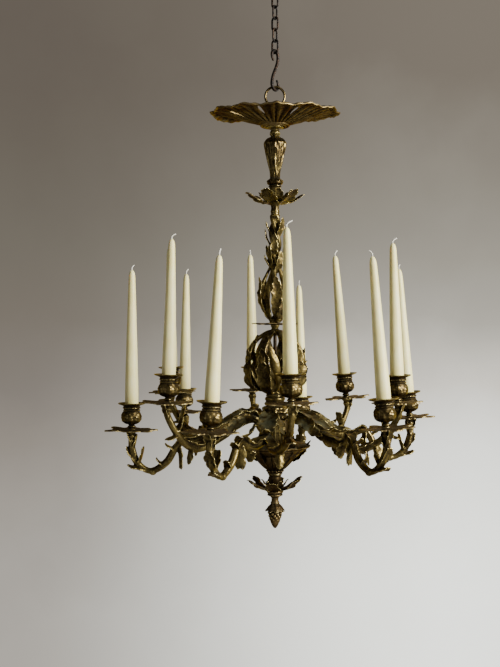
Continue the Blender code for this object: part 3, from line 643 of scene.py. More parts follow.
def dishPoint(share, turn, droop, radius, floor, depth):
    # a point on the dish's upper face: share runs from the stem to the rim
    levels = ((0.03, 0.0), (0.24, 0.0), (0.42, 0.30), (0.62, 0.62), (0.82, 0.92), (0.93, 1.0), (1.0, 0.92))
    for (s0, l0), (s1, l1) in zip(levels, levels[1:]):
        if share <= s1:
            level = l0 + (l1 - l0) * ease(s0, s1, share) * 0.5 + (l1 - l0) * 0.5 * max(share - s0,
                    0) / (s1 - s0)
            break
    lobe = cos(dish["lobes"] * turn)
    rim = ease(0.55, 1.0, share)
    reach = radius * share * (1 + dish["scallop"] * (0.5 * lobe
                                                     + 0.10 * cos(3 * dish["lobes"] * turn + 0.8)) * rim)
    height = floor + depth * level + 0.07 * depth * lobe * rim
    ribs = (cos(dish["lobes"] * dish["flutes"] * turn)
            + 0.18 * cos(5 * dish["lobes"] * turn + 3 * sin(2 * turn)))
    height += dish["flute"] * ribs * ease(0.2, 0.4, share) * (1 - 0.45 * rim)
    height -= droop(turn) * ease(0.86, 1.0, share) ** 1.5
    height += dish["tilt"] * reach * sin(turn)       # it hangs a little low at the front
    return Vector((reach * cos(turn), reach * sin(turn), height))


def makeDish():
    low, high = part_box("canopy_dish")
    radius, floor, depth = (high.x - low.x) / 2 * 0.985, low.z + dish["sheet"], (high.z - low.z) * 0.84
    drops = [dish["curl"] * draw.choice((0.1, 0.3, 0.5, 1.3)) for _ in range(dish["lobes"])]

    def droop(turn):
        spot = (turn / tau * dish["lobes"]) % dish["lobes"]
        a, b = drops[int(spot)], drops[(int(spot) + 1) % dish["lobes"]]
        return a + (b - a) * ease(0, 1, spot % 1)
    sides, steps = 360, 34
    shape = bmesh.new()
    rings = []
    shares = [0.035 + 0.965 * k / steps for k in range(steps + 1)]
    for under in (False, True):
        for share in (shares[::-1] if under else shares):
            sheet = dish["sheet"] * (1.0 - 0.35 * share)
            ring = []
            for k in range(sides):
                spot = dishPoint(share, tau * k / sides, droop, radius, floor, depth)
                ring.append(shape.verts.new(spot - Vector((0, 0, sheet if under else 0))))
            rings.append(ring)
    skin(shape, rings, loop=True)
    for ringRadius, drop, girth in ((24.0, 2.8, 2.4), (22.8, 5.0, 2.2),
                                    (17.6, 6.0, 2.2)):      # the turned mouldings
        path = [Vector((ringRadius * mm * cos(tau * k / 90), ringRadius * mm * sin(tau * k / 90),
                        floor - drop * mm + 1.2 * mm))
                for k in range(90)]
        addBar(shape, path, girth * mm, 10, True)
    piece = pieceFrom("canopyDish", shape, looks["dish"], "chandelier", ["canopy_dish"])
    cutter = bmesh.new()
    for k in range(dish["slots"]):
        angle = 360 * k / dish["slots"] + dish["slotTurn"]
        middle = around(angle, dish["slotReach"], 0)
        along, across = around(angle, 1, 0), around(angle + 90, 1, 0)
        edge = []
        for step in range(20):
            turn = tau * step / 20
            taper = 1 + 0.6 * cos(turn)
            edge.append(middle + along * cos(turn) * dish["slotLength"] / 2
                        + across * sin(turn) * dish["slotWidth"] / 2 * taper)
        skin(cutter, [[cutter.verts.new(Vector((p.x, p.y, z))) for p in edge] for z in (floor - 0.02,
                floor + 0.04)])
    bmesh.ops.recalc_face_normals(cutter, faces=cutter.faces)
    mesh = bpy.data.meshes.new("slots")
    cutter.to_mesh(mesh)
    cutter.free()
    slots = bpy.data.objects.new("slots", mesh)
    bpy.context.scene.collection.objects.link(slots)
    cut = piece.modifiers.new("slots", "BOOLEAN")
    cut.operation, cut.object, cut.solver = "DIFFERENCE", slots, "EXACT"
    applyAll(piece)
    bpy.data.objects.remove(slots)


def turnedPiece(name, node, pairs, sides, look, relief=None, perSpan=5, extra=None, voxel=0.0):
    # pairs are (radius in mm, share of the node's height from its top)
    low, high = heights(node)
    profile = profileOf([(r * mm, high - share * (high - low)) for r, share in pairs], perSpan)
    profile = [(0.0, high - 0.3 * mm)] + profile + [(0.0, low + 0.3 * mm)]
    shape = bmesh.new()
    addTurned(shape, profile, sides, relief)
    if extra:
        extra(shape, low, high)
    return pieceFrom(name, shape, looks[look], "chandelier", [node], voxel)


knop = {"leaves": 6, "relief": 2.0 * mm}


def makeKnop():
    def chased(share, turn):
        upper = leafRelief(turn, share, knop["leaves"], 0.22, 0.60, 0.0, 5)
        lower = leafRelief(turn, 1.06 - share, knop["leaves"], 0.34, 0.72, 0.5, 4)
        return knop["relief"] * (max(upper, 0.5 * lower) - 0.35 * ease(0.2, 0.26, share) * ease(0.74, 0.68,
                share))
    pairs = ((14.0, 0.0), (14.3, 0.02), (14.0, 0.045), (8.2, 0.06), (7.0, 0.075), (8.4, 0.10), (8.4, 0.12),
             (6.8, 0.15),
             (7.2, 0.165), (13.5, 0.19), (17.8, 0.23), (18.4, 0.27), (17.0, 0.34), (14.6, 0.43),
             (11.8, 0.52),
             (9.2, 0.61), (8.2, 0.67), (8.4, 0.71), (12.6, 0.735), (13.4, 0.76), (12.6, 0.785), (9.6, 0.80),
             (11.0, 0.815),
             (9.6, 0.83), (8.8, 0.86), (9.2, 0.94), (9.4, 1.0))
    turnedPiece("topKnop", "top_knop", pairs, 108, "stem", chased)


def leafCluster(shape, angles, spread, base, rise, halfWidth, teeth=4, curlBack=0.0, root=0.10,
                thick=1.9 * mm):
    # leaves that spring from the stem and curl up, each a little different
    for angle in angles:
        reach = spread * draw.uniform(0.90, 1.0)
        lift = rise * draw.uniform(0.85, 1.05)
        side = around(angle + 90, 1, 0)
        points = [around(angle, root * reach, base - 1 * mm),
                  around(angle + 3, 0.40 * reach, base - 1.5 * mm),
                  around(angle, 0.66 * reach, base + 0.30 * lift),
                  around(angle - 4, 0.86 * reach, base + 0.80 * lift),
                  around(angle, reach - curlBack, base + 0.94 * lift)]
        addLeaf(shape, points, halfWidth * draw.uniform(0.9, 1.08), side, teeth, 0.5, 0.28, thick)


calyx = {"leaves": 6, "halfWidth": 11.5 * mm, "small": 8.0 * mm}


def makeCalyx():
    low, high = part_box("upper_leaf_calyx")
    foot = heights("vine_stem")[1]
    seat = heights("top_knop")[0]
    height = seat - foot
    shape = bmesh.new()
    pairs = ((8.6, 0.0), (11.4, 0.14), (9.4, 0.26), (7.0, 0.40), (6.6, 0.62), (7.6, 0.8), (6.8, 0.9),
             (7.2, 1.0))
    profile = profileOf([(r * mm, seat - share * height) for r, share in pairs])
    addTurned(shape, [(0.0, seat - 0.3 * mm)] + profile + [(0.0, foot + 0.3 * mm)], 48)
    base = seat - 0.2 * height + 4 * mm
    spread = (high.x - low.x) / 2 * 1.18
    leafCluster(shape, [60 * k + 15 for k in range(calyx["leaves"])], spread, base, 14 * mm,
                calyx["halfWidth"], 4)
    leafCluster(shape, [60 * k + 45 for k in range(calyx["leaves"])], spread * 0.58, base + 1 * mm, 17 * mm,
                calyx["small"], 3)
    pieceFrom("upperCalyx", shape, looks["stem"], "chandelier", ["upper_leaf_calyx"],
              0.95 * mm)


vine = {"strand": 3.9 * mm, "reach": 5.6 * mm, "turns": 1.15, "cageTop": 90 * mm,
        "strap": 5.6 * mm, "straps": 5}
# the vine's leaves: angle, height down from the top, reach, rise of the tip, half width, all in mm
vineLeaves = [(318, 25, 14, 20, 8.0), (186, 20, 14, 8, 5.0), (20, 62, 17, 24, 6.5), (172, 40, 15, 16, 6.0),
              (188, 76, 17, 8, 5.0),
              (262, 56, 13, 24, 7.5), (300, 84, 15, 22, 8.0), (95, 40, 16, 16, 7.0), (60, 80, 17, 18, 7.0),
              (225, 70, 14, 18, 6.5), (140, 66, 15, 16, 6.5)]


def reeded(count, depth):
    return lambda share, turn: depth * (abs(cos(turn * count / 2 + share * 5)) - 0.5)


def makeVine():
    low, high = heights("vine_stem")
    bulge = (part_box("vine_stem")[1].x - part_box("vine_stem")[0].x) / 2
    cageTop = high - vine["cageTop"]
    shape = bmesh.new()
    collar = profileOf([(r * mm, high - d * mm) for r, d in ((7.4, 0), (8.4, 2.5), (6.4, 5), (6.0, 10),
            (6.4, 40), (6.6, 90), (4.2, 97))])
    addTurned(shape, [(0.0, high - 0.3 * mm)] + collar + [(0.0, cageTop - 7 * mm)], 32)
    for strand in range(3):
        path = []
        for step in range(40):
            down = step / 39
            angle = 360 * (vine["turns"] * down + strand / 3) + 40 + 25 * sin(down * 7 + strand)
            path.append(around(angle, vine["reach"] + 1.4 * mm * sin(pi * down),
                               high - (0.03 + 1.0 * down) * vine["cageTop"]))
        addBar(shape, path, lambda share: vine["strand"] * (0.75 + 0.25 * sin(pi * share)), 12,
               relief=reeded(5, 0.22))
    for angle, drop, reach, rise, half in vineLeaves:
        spot = high - drop * mm
        points = [around(angle - 14, 5 * mm, spot - 16 * mm),
                  around(angle - 6, reach * 0.62 * mm, spot - 8 * mm),
                  around(angle, reach * 0.88 * mm, spot), around(angle + 6, reach * mm,
                          spot + rise * 0.5 * mm),
                  around(angle + 4, (reach + 2) * mm, spot + rise * mm)]
        addLeaf(shape, points, half * mm, around(angle + 90, 1, 0), 3, 0.45, 0.3, 1.9 * mm)
    span = cageTop - low
    for k in range(vine["straps"]):
        angle = 360 * k / vine["straps"] + 180
        shares = ((-0.04, 0.30), (0.14, 0.62), (0.34, 0.97), (0.58, 0.97), (0.82, 0.64), (0.97, 0.38))
        points = [around(angle + 30 * down, bulge * out, cageTop - down * span) for down, out in shares]
        path = route(points, 8)
        addBar(shape, path, lambda share: vine["strap"] * (0.55 + 0.45 * sin(pi * share ** 0.9)), 14,
               relief=reeded(4, 0.20),
               up=around(angle, 1, 0), flat=0.55)
        turn = angle + 16
        side = around(turn + 90, 1, 0)
        points = [around(turn, 0.60 * bulge, cageTop - 0.86 * span),
                  around(turn + 4, 0.92 * bulge, cageTop - 0.70 * span),
                  around(turn + 8, 1.12 * bulge, cageTop - 0.50 * span),
                  around(turn + 6, 1.06 * bulge, cageTop - 0.30 * span),
                  around(turn + 2, 1.20 * bulge, cageTop - 0.16 * span)]
        addLeaf(shape, points, 10 * mm, side, 5, 0.36, 0.30, 2.2 * mm)
        inner = [around(turn + 30, 0.5 * bulge, cageTop - 0.94 * span),
                 around(turn + 30, 0.72 * bulge, cageTop - 0.78 * span),
                 around(turn + 32, 0.80 * bulge, cageTop - 0.60 * span),
                 around(turn + 38, 0.95 * bulge, cageTop - 0.48 * span)]
        addLeaf(shape, inner, 8.0 * mm, around(turn + 120, 1, 0), 4, 0.36, 0.30, 2.0 * mm)
    foot = profileOf([(r * mm, low + h * mm) for r, h in ((4.0, 12), (7.0, 8), (10.4, 5), (9.2, 3),
                                                          (9.8, 0))])
    addTurned(shape, [(0.0, low + 12 * mm)] + foot + [(0.0, low + 0.2 * mm)], 40)
    pieceFrom("vineStem", shape, looks["stem"], "chandelier", ["vine_stem"], 0.95 * mm)


def makeDisc():
    low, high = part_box("leaf_disc")
    middle, reach = (low.z + high.z) / 2, (high.x - low.x) / 2 * 1.08
    shape = bmesh.new()
    addTurned(shape, [(0.0, high.z - 0.2 * mm), (8 * mm, high.z - 0.2 * mm), (9 * mm, middle),
                      (8 * mm, low.z + 0.2 * mm),
                      (0.0, low.z + 0.2 * mm)], 36)
    for k in range(6):
        angle = 60 * k + 14 + draw.uniform(-4, 4)
        points = [around(angle, 3 * mm, middle), around(angle, 0.4 * reach, middle - 0.6 * mm),
                  around(angle, 0.75 * reach, middle + 0.4 * mm),
                  around(angle, reach, middle + draw.uniform(-2, 1.5) * mm)]
        addLeaf(shape, points, 11.5 * mm, around(angle + 90, 1, 0), 3, 0.33, 0.06, 2.3 * mm, lean=0.35)
    pieceFrom("leafDisc", shape, looks["dish"], "chandelier", ["leaf_disc"], 0.9 * mm)


crown = {"straps": 6, "width": 8.6 * mm, "turnDown": (6, 38)}


def makeCrown():
    low, high = heights("scroll_crown")
    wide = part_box("scroll_crown")
    bulge = (wide[1].x - wide[0].x) / 2 - 3 * mm
    span = high - low
    shape = bmesh.new()
    neck = profileOf([(r * mm, high - d * mm) for r, d in ((7.0, 0), (7.8, 2), (6.2, 4), (6.0, 8),
                                                           (8.2, 11), (9.0, 14), (5.5, 18))])
    addTurned(shape, [(0.0, high - 0.2 * mm)] + neck + [(0.0, high - 18 * mm)], 40)
    foot = profileOf([(r * mm, low + h * mm) for r, h in ((4.5, 17), (6.5, 12), (13.0, 9), (15.4, 6),
                                                          (13.6, 4), (15.8, 1.5), (15.0, 0))])
    addTurned(shape, [(0.0, low + 17 * mm)] + foot + [(0.0, low + 0.2 * mm)], 60)
    for k in range(crown["straps"]):
        angle = 360 * k / crown["straps"] - 3
        sweep = crown["turnDown"][k % 2]
        shares = ((0.02, 0.10), (0.07, 0.36), (0.20, 0.74), (0.40, 0.98), (0.60, 0.96), (0.80, 0.78),
                  (0.92, 0.50), (0.985, 0.22))
        points = [around(angle + sweep * down, bulge * out,
                         high - 0.06 * span - down * 0.93 * span) for down, out in shares]
        addBar(shape, route(points, 8),
               lambda share: crown["width"] * (0.42 + 0.62 * sin(pi * share ** 0.8)), 18,
                relief=reeded(4, 0.24),
               up=around(angle, 1, 0), flat=0.46)
        down = angle + 7 + 0.6 * sweep
        side = around(down + 90, 1, 0)
        outer = [around(down, 0.46 * bulge, low + 0.07 * span),
                 around(down, 0.90 * bulge, low + 0.16 * span),
                 around(down, 1.04 * bulge, low + 0.34 * span),
                 around(down - 2, 1.00 * bulge, low + 0.54 * span),
                 around(down - 6, 1.08 * bulge, low + 0.68 * span)]
        addLeaf(shape, outer, 13.5 * mm, side, 5, 0.36, 0.34, 2.3 * mm)
        spur = [around(down, 0.88 * bulge, low + 0.42 * span),
                around(down, 1.06 * bulge, low + 0.46 * span),
                around(down, 1.19 * bulge, low + 0.50 * span)]
        addLeaf(shape, spur, 5.0 * mm, side, 2, 0.3, 0.3, 3.0 * mm)
        blade = [around(angle + 4, 0.62 * bulge, high - 0.14 * span),
                 around(angle + 16, 0.84 * bulge, high - 0.32 * span),
                 around(angle + 30, 0.84 * bulge, high - 0.52 * span),
                 around(angle + 42, 0.66 * bulge, high - 0.74 * span),
                 around(angle + 50, 0.42 * bulge, high - 0.88 * span)]
        addLeaf(shape, blade, 8.5 * mm, around(angle + 114, 1, -0.004), 3, 0.30, 0.30, 2.4 * mm)
        inner = [around(angle + 30, 0.26 * bulge, low + 0.06 * span),
                 around(angle + 30, 0.44 * bulge, low + 0.16 * span),
                 around(angle + 30, 0.50 * bulge, low + 0.30 * span),
                 around(angle + 30, 0.34 * bulge, low + 0.42 * span),
                 around(angle + 30, 0.42 * bulge, low + 0.50 * span)]
        addLeaf(shape, inner, 10.0 * mm, around(angle + 120, 1, 0), 4, 0.38, 0.30, 2.2 * mm)
    pieceFrom("scrollCrown", shape, looks["stem"], "chandelier", ["scroll_crown"], 1.0 * mm)


def makeHub():
    def chased(share, turn):
        flutes = 0.9 * mm * (abs(cos(turn * 6)) - 0.5) * ease(0.40, 0.46, share)
        leaves = 2.4 * mm * leafRelief(turn, 1.16 - share, 6, 0.02, 0.66, 0.0, 5)
        eggs = 0.8 * mm * cos(turn * 18) * ease(0.24, 0.27, share) * ease(0.36, 0.33, share)
        return flutes + leaves + eggs
    pairs = ((14.0, 0.0), (16.6, 0.03), (16.8, 0.07), (15.4, 0.10), (16.2, 0.13), (12.8, 0.165),
             (13.4, 0.19), (20.4, 0.225),
             (21.4, 0.26), (20.8, 0.30), (21.2, 0.33), (19.2, 0.36), (19.0, 0.45), (19.4, 0.6), (19.6, 0.8),
             (19.8, 1.0))
    turnedPiece("hub", "hub", pairs, 144, "stem", chased)


def makeBowl():
    def chased(share, turn):
        tongues = 1.7 * mm * (abs(cos(turn * 10)) - 0.4) * ease(0.06, 0.14, share) * ease(0.36, 0.30, share)
        gadroons = 2.3 * mm * (sqrt(abs(cos(turn * 8))) - 0.55) * ease(0.40, 0.50, share) * ease(0.90, 0.80,
                share)
        return tongues + gadroons
    pairs = ((48.0, 0.0), (57.0, 0.03), (59.0, 0.07), (57.0, 0.11), (53.5, 0.14), (52.0, 0.19),
             (44.5, 0.28), (40.5, 0.33), (36.5, 0.36),
             (35.5, 0.41), (32.5, 0.50), (28.0, 0.61), (22.5, 0.73), (17.0, 0.83), (13.5, 0.87),
             (14.4, 0.90), (14.6, 0.93), (12.6, 0.96), (13.0, 1.0))

    def leaves(shape, low, high):
        for k in range(6):                # leaf points that stand on the rim between the arms
            angle = 60 * k + 52
            points = [around(angle, 30 * mm, low + 20 * mm), around(angle, 42 * mm, low + 31 * mm),
                      around(angle, 50 * mm, low + 42 * mm), around(angle + 4, 54 * mm, low + 50 * mm),
                      around(angle + 8, 60 * mm, low + 55 * mm)]
            addLeaf(shape, points, 9.5 * mm, around(angle + 90, 1, 0), 4, 0.4, 0.25, 2.2 * mm)
    turnedPiece("hubBowl", "hub_bowl", pairs, 160, "bowl", chased, extra=leaves)


def makeLowerCalyx():
    low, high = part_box("lower_leaf_calyx")
    shape = bmesh.new()
    pairs = ((11.0, 0.0), (11.6, 0.06), (10.2, 0.14), (9.8, 0.36), (8.4, 0.58), (7.0, 0.76), (8.6, 0.88),
             (9.4, 0.95), (8.8, 1.0))
    height = high.z - low.z
    profile = profileOf([(r * mm, high.z - share * height) for r, share in pairs])
    addTurned(shape, [(0.0, high.z - 0.2 * mm)] + profile + [(0.0, low.z + 0.2 * mm)], 48)
    spread = (high.x - low.x) / 2 * 1.20
    leafCluster(shape, [60 * k + 25 for k in range(6)], spread, low.z + 3.4 * mm, 15.5 * mm, 11.5 * mm, 4)
    leafCluster(shape, [60 * k + 55 for k in range(6)], spread * 0.5, low.z + 4.4 * mm, 14 * mm, 6.0 * mm,
                3)
    pieceFrom("lowerCalyx", shape, looks["bowl"], "chandelier", ["lower_leaf_calyx"],
              0.9 * mm)


finial = {"berry": 2.9 * mm, "goldenAngle": 137.5}


def makeFinial():
    low, high = heights("berry_finial")
    span = high - low
    shape = bmesh.new()
    pairs = ((9.8, 0.0), (13.2, 0.025), (14.0, 0.07), (12.2, 0.11), (13.2, 0.15), (9.0, 0.18), (6.4, 0.22),
             (6.2, 0.30), (7.8, 0.34),
             (6.6, 0.37), (8.4, 0.42), (12.0, 0.50), (9.6, 0.56), (9.6, 0.66), (8.6, 0.78), (5.8, 0.90),
             (2.0, 0.99))
    profile = profileOf([(r * mm, high - share * span) for r, share in pairs])
    addTurned(shape, [(0.0, high - 0.2 * mm)] + profile + [(0.0, low + 0.4 * mm)], 48)
    count = 56
    for k in range(count):                # berries packed in a spiral that narrows to the tip
        share = k / count
        reach = (10.4 - 8.6 * share ** 1.6) * mm
        drop = 0.56 + 0.40 * share
        spot = around(finial["goldenAngle"] * k, reach, high - drop * span)
        addBall(shape, spot, finial["berry"] * (1 - 0.35 * share), 10)
    for k in range(8):
        angle = 45 * k + 10
        points = [around(angle, 5 * mm, high - 0.36 * span), around(angle, 11 * mm, high - 0.44 * span),
                  around(angle, 15 * mm, high - 0.52 * span),
                  around(angle, (19 if k % 2 else 17) * mm, high - 0.55 * span)]
        addLeaf(shape, points, 5.4 * mm, around(angle + 90, 1, 0), 3, 0.4, 0.25, 1.6 * mm)
    pieceFrom("berryFinial", shape, looks["bowl"], "chandelier", ["berry_finial"], 0.7 * mm)


for make in (makeDish, makeKnop, makeCalyx, makeVine, makeDisc, makeCrown, makeHub, makeBowl,
             makeLowerCalyx, makeFinial):
    make()
    print("made", make.__name__)


# ---------- drip pans, cups and candles
pans = {"sheet": 2.3 * mm, "lobes": 7, "notch": 0.27, "wave": 1.7 * mm, "vein": 0.30 * mm}


def makePan(number):
    low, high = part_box(f"drip_pan_{number}")
    radius = max(high.x - low.x, high.y - low.y) / 2 * 1.03
    hole = 3.0 * mm
    lobes = pans["lobes"] + number % 2
    start = draw.uniform(0, tau)
    sizes = [draw.uniform(0.86, 1.0) for _ in range(lobes)]
    lifts = [draw.uniform(-1, 1) for _ in range(lobes)]
    sides, steps = 126, 15
    shape = bmesh.new()
    rings = []
    for under in (False, True):
        for step in (range(steps, -1, -1) if under else range(steps + 1)):
            share = step / steps
            ring = []
            for k in range(sides):
                turn = tau * k / sides
                spot = (turn / tau * lobes) % lobes
                lobe, local = int(spot), spot % 1
                size = sizes[lobe] + (sizes[(lobe + 1) % lobes] - sizes[lobe]) * ease(0.7, 1.0, local)
                leafy = 1 - pans["notch"] * (abs(cos(pi * local)) ** 2.2) + 0.035 * cos(tau * 3 * local)
                reach = hole + (radius * size * leafy - hole) * share
                rise = pans["wave"] * (lifts[lobe] * sin(pi * local)) * share ** 2
                rise -= 0.9 * mm * share ** 2 * abs(cos(pi * local))
                rise += pans["vein"] * cos(tau * 4 * local) * share * (1.2 - share)
                sheet = pans["sheet"] * (1 - 0.25 * share)
                height = pans["sheet"] + 0.25 * mm + rise - (sheet if under else 0)
                ring.append(shape.verts.new(Vector((reach * cos(turn + start), reach * sin(turn + start),
                                                    height))))
            rings.append(ring)
    skin(shape, rings, loop=True)
    pieceFrom(f"dripPan{number}", shape, looks["pan"], "chandelier", [f"drip_pan_{number}"],
              place=lightFrames[number])


cups = {"leaves": 5, "relief": 1.7 * mm, "petal": 0.7 * mm}


def makeCupMesh():
    def chased(place, turn):
        height = place.z / mm
        leaves = cups["relief"] * (leafRelief(turn, (height - 9.0) / 23.0, cups["leaves"], 0.04, 0.98, 0.0,
                                              4) - 0.25)
        leaves *= ease(9.5, 12.0, height) * ease(32.5, 30.0, height)
        beads = 0.45 * mm * cos(turn * 22) * ease(36.2, 37.0, height) * ease(38.2, 37.4, height)
        petals = cups["petal"] * (0.6 * cos(turn * 7 + 1) + 0.4 * cos(turn * 11)) * ease(42.5, 45.0, height)
        return leaves + beads + petals
    outside = profileOf([(r * mm, h * mm) for r, h in
                         ((22.3, 45.0), (21.4, 43.4), (17.4, 42.0), (14.2, 40.6), (13.6, 38.8),
                          (14.6, 37.2), (13.2, 35.6), (13.0, 34.4),
                          (14.2, 33.0), (13.5, 31.6), (15.0, 28.0), (16.0, 24.5), (15.9, 20.0),
                          (14.2, 14.8), (10.0, 11.6), (6.4, 10.2), (4.8, 9.2),
                          (4.9, 8.4), (6.3, 7.2), (6.5, 6.0), (5.0, 4.9), (5.4, 4.0), (6.8, 3.2),
                          (6.6, 2.5))], 3)
    inside = [(0.0, 2.45 * mm)]
    bore = [(0.0, 17.4 * mm), (11.4 * mm, 17.4 * mm), (11.55 * mm, 36.0 * mm), (12.6 * mm, 39.6 * mm),
            (16.0 * mm, 42.6 * mm),
            (20.4 * mm, 44.6 * mm), (21.9 * mm, 45.4 * mm)]
    shape = bmesh.new()
    addTurned(shape, bore + outside + inside, 80)
    inner = 12.9 * mm
    for vert in shape.verts:
        reach = Vector((vert.co.x, vert.co.y)).length
        if reach > inner or vert.co.z < 17 * mm and reach > 3 * mm:
            grow = 1 + chased(vert.co, atan2(vert.co.y, vert.co.x)) / reach
            vert.co.x, vert.co.y = vert.co.x * grow, vert.co.y * grow
    bmesh.ops.recalc_face_normals(shape, faces=shape.faces)
    mesh = bpy.data.meshes.new("cup")
    shape.to_mesh(mesh)
    shape.free()
    return mesh


def makeCups():
    first = makeCupMesh()
    for number in range(1, lightCount + 1):
        shape = bmesh.new()
        shape.from_mesh(first)
        place = lightFrames[number] @ Matrix.Rotation(radians(31 * number), 4, "Z")
        pieceFrom(f"candleCup{number}", shape, looks["cup"], "chandelier", [f"candle_cup_{number}"],
                  place=place)
    bpy.data.meshes.remove(first)


candles = {"wick": 0.95 * mm, "wickLength": 10 * mm, "bend": 1.2 * mm}


def makeCandle(number):
    node = frame["nodes"][f"candle_{number}"]
    inverse = lightFrames[number].inverted()
    levels = [(inverse @ vert.co).z for vert in node.data.vertices]
    start, stop = min(levels), max(levels) - 9 * mm
    length = stop - start
    outline = ((11.0, 0.0), (11.0, 0.16), (10.2, 0.30), (8.9, 0.50), (7.6, 0.68), (6.6, 0.82),
               (5.75, 0.925), (5.35, 0.955), (4.5, 0.977),
               (3.0, 0.992), (1.4, 0.999))
    profile = [(0.0, stop)] + profileOf([(r * mm * 0.985, start + share * length) for r, share in outline],
                                        7)[::-1] + [(0.0, start)]
    lean = draw.uniform(0, tau)
    bend = candles["bend"] * draw.uniform(0.3, 1.0)

    def bow(height):
        share = ease(0.25, 1.0, (height - start) / length) ** 1.5
        return Vector((cos(lean), sin(lean), 0)) * bend * share
    shape = bmesh.new()
    addTurned(shape, profile, 36)
    for vert in shape.verts:
        vert.co += bow(vert.co.z)
    pieceFrom(f"candle{number}", shape, looks["wax"], f"candle_{number}", [f"candle_{number}"],
              place=lightFrames[number])
    tip = Vector((0, 0, stop)) + bow(stop)
    swing = draw.uniform(-0.6, 0.9)
    reach = candles["wickLength"] * draw.uniform(0.8, 1.1)
    points = [tip - Vector((0, 0, 2 * mm)), tip + Vector((0, 0, 0.3 * reach)),
              tip + Vector((0.35 * swing * reach, 0, 0.62 * reach)),
              tip + Vector((swing * reach, 0.1 * reach, 0.88 * reach))]
    shape = bmesh.new()
    addBar(shape, route(points, 8), candles["wick"], 9, relief=lambda share,
           turn: 0.2 * cos(turn * 3 + share * 40), up=Vector((0, 1, 0)))
    pieceFrom(f"wick{number}", shape, looks["wick"], f"candle_{number}", [f"candle_{number}"],
              place=lightFrames[number])


for number in range(1, lightCount + 1):
    makePan(number)
makeCups()
for number in range(1, lightCount + 1):
    makeCandle(number)
print("lights made")


# ---------- the forked arms
arms = {"rootDrop": 42 * mm, "root": 8.4 * mm, "branch": 5.4 * mm}


def makeArm(number):
    lowLight, highLight = lightFrames[2 * number - 1], lightFrames[2 * number]
    lowSeat, highSeat = lowLight.translation, highLight.translation
    lowAngle, highAngle = (180 / pi * -Vector((1, 0)).angle_signed(Vector((p.x, p.y)), 0) for p in (lowSeat,
            highSeat))
    highAngle = lowAngle + (highAngle - lowAngle + 180) % 360 - 180
    lowReach, highReach = Vector((lowSeat.x, lowSeat.y)).length, Vector((highSeat.x, highSeat.y)).length
    trunk = (lowAngle + highAngle) / 2
    root = hubTop - arms["rootDrop"]
    shape = bmesh.new()

    def low(share, reach, height):
        return around(trunk + share * (lowAngle - trunk), reach * lowReach, height)

    def high(share, reach, height):
        return around(trunk + share * (highAngle - trunk), reach * highReach, height)

    trunkPath = route([around(trunk, 21 * mm, root), around(trunk, 25 * mm, root),
                       around(trunk, 41 * mm, root + 6 * mm),
                       around(trunk, 66 * mm, root - 2 * mm), around(trunk, 96 * mm, root - 22 * mm)], 8)
    addBar(shape, trunkPath, lambda share: arms["root"] * (1 - 0.22 * share), 18, relief=reeded(5, 0.16))
    under = lowSeat.z
    down = lowLight.to_3x3() @ Vector((0, 0, -1))
    lowPath = route([around(trunk, 86 * mm, root - 17 * mm), low(0.45, 0.56, root - 27 * mm),
                     low(0.75, 0.68, under - 22 * mm),
                     low(0.88, 0.76, under - 52 * mm), low(0.96, 0.87, under - 67 * mm),
                     low(1.0, 0.965, under - 52 * mm),
                     lowSeat + down * 24 * mm, lowSeat + down * 10 * mm, lowSeat + down * 0.6 * mm], 7)
    addBar(shape, lowPath, lambda share: arms["branch"] * (1.12 - 0.22 * share + 0.10 * sin(share * 21)),
           16, relief=reeded(5, 0.20))
    below = highSeat.z
    drop = highLight.to_3x3() @ Vector((0, 0, -1))
    highPath = route([around(trunk, 86 * mm, root - 17 * mm), high(0.45, 0.64, below - 76 * mm),
                      high(0.8, 0.80, below - 70 * mm),
                      high(0.97, 0.92, below - 48 * mm), highSeat + drop * 20 * mm,
                      highSeat + drop * 9 * mm, highSeat + drop * 0.6 * mm], 7)
    addBar(shape, highPath, lambda share: arms["branch"] * (1.10 - 0.22 * share), 16,
           relief=reeded(6, 0.17))
    for seat, fall in ((lowSeat, down), (highSeat, drop)):   # the flared socket under each pan
        turn = Matrix.Translation(seat) @ fall.to_track_quat("-Z", "Y").to_matrix().to_4x4()
        socket = profileOf([(r * mm, h * mm) for r, h in ((8.6, -0.4), (8.2, -2.0), (6.0, -4.0),
                                                          (5.4, -7.0), (6.6, -9.0), (5.4, -11.0),
                                                          (4.4, -14.0))])
        addTurned(shape, [(0.0, -0.35 * mm)] + socket + [(0.0, -15 * mm)], 26, place=turn)
    armLeaves(shape, trunk, root, lowPath, highPath, lowAngle, highAngle)
    pieceFrom(f"arm{number}", shape, looks["arm"], "chandelier", [f"arm_{number}"], 1.25 * mm)


def leafOn(shape, path, at, length, rise, halfWidth, turn=0.0, teeth=4, curl=0.35, hug=0.6, thick=2.8 * mm):
    # a leaf that leaves a branch at a share of its way, runs out by length and up by rise
    spot = path[int(at * (len(path) - 1))]
    ahead = path[min(int(at * (len(path) - 1)) + 2, len(path) - 1)]
    along = (ahead - spot).normalized()
    out = Vector((spot.x, spot.y, 0)).normalized()
    out = Matrix.Rotation(radians(turn), 3, "Z") @ out
    lift = Vector((0, 0, 1))
    points = [spot - along * 3 * mm,
              spot + along * hug * 0.35 * length + out * 0.22 * length + lift * 0.15 * rise,
              spot + along * hug * 0.5 * length + out * 0.62 * length + lift * 0.55 * rise,
              spot + along * hug * 0.5 * length + out * (1 - 0.2 * curl) * length + lift * rise,
              spot + along * hug * 0.45 * length + out * length + lift * rise * (1 + curl)]
    addLeaf(shape, points, halfWidth, lift.cross(out), teeth, 0.36, 0.28, thick)


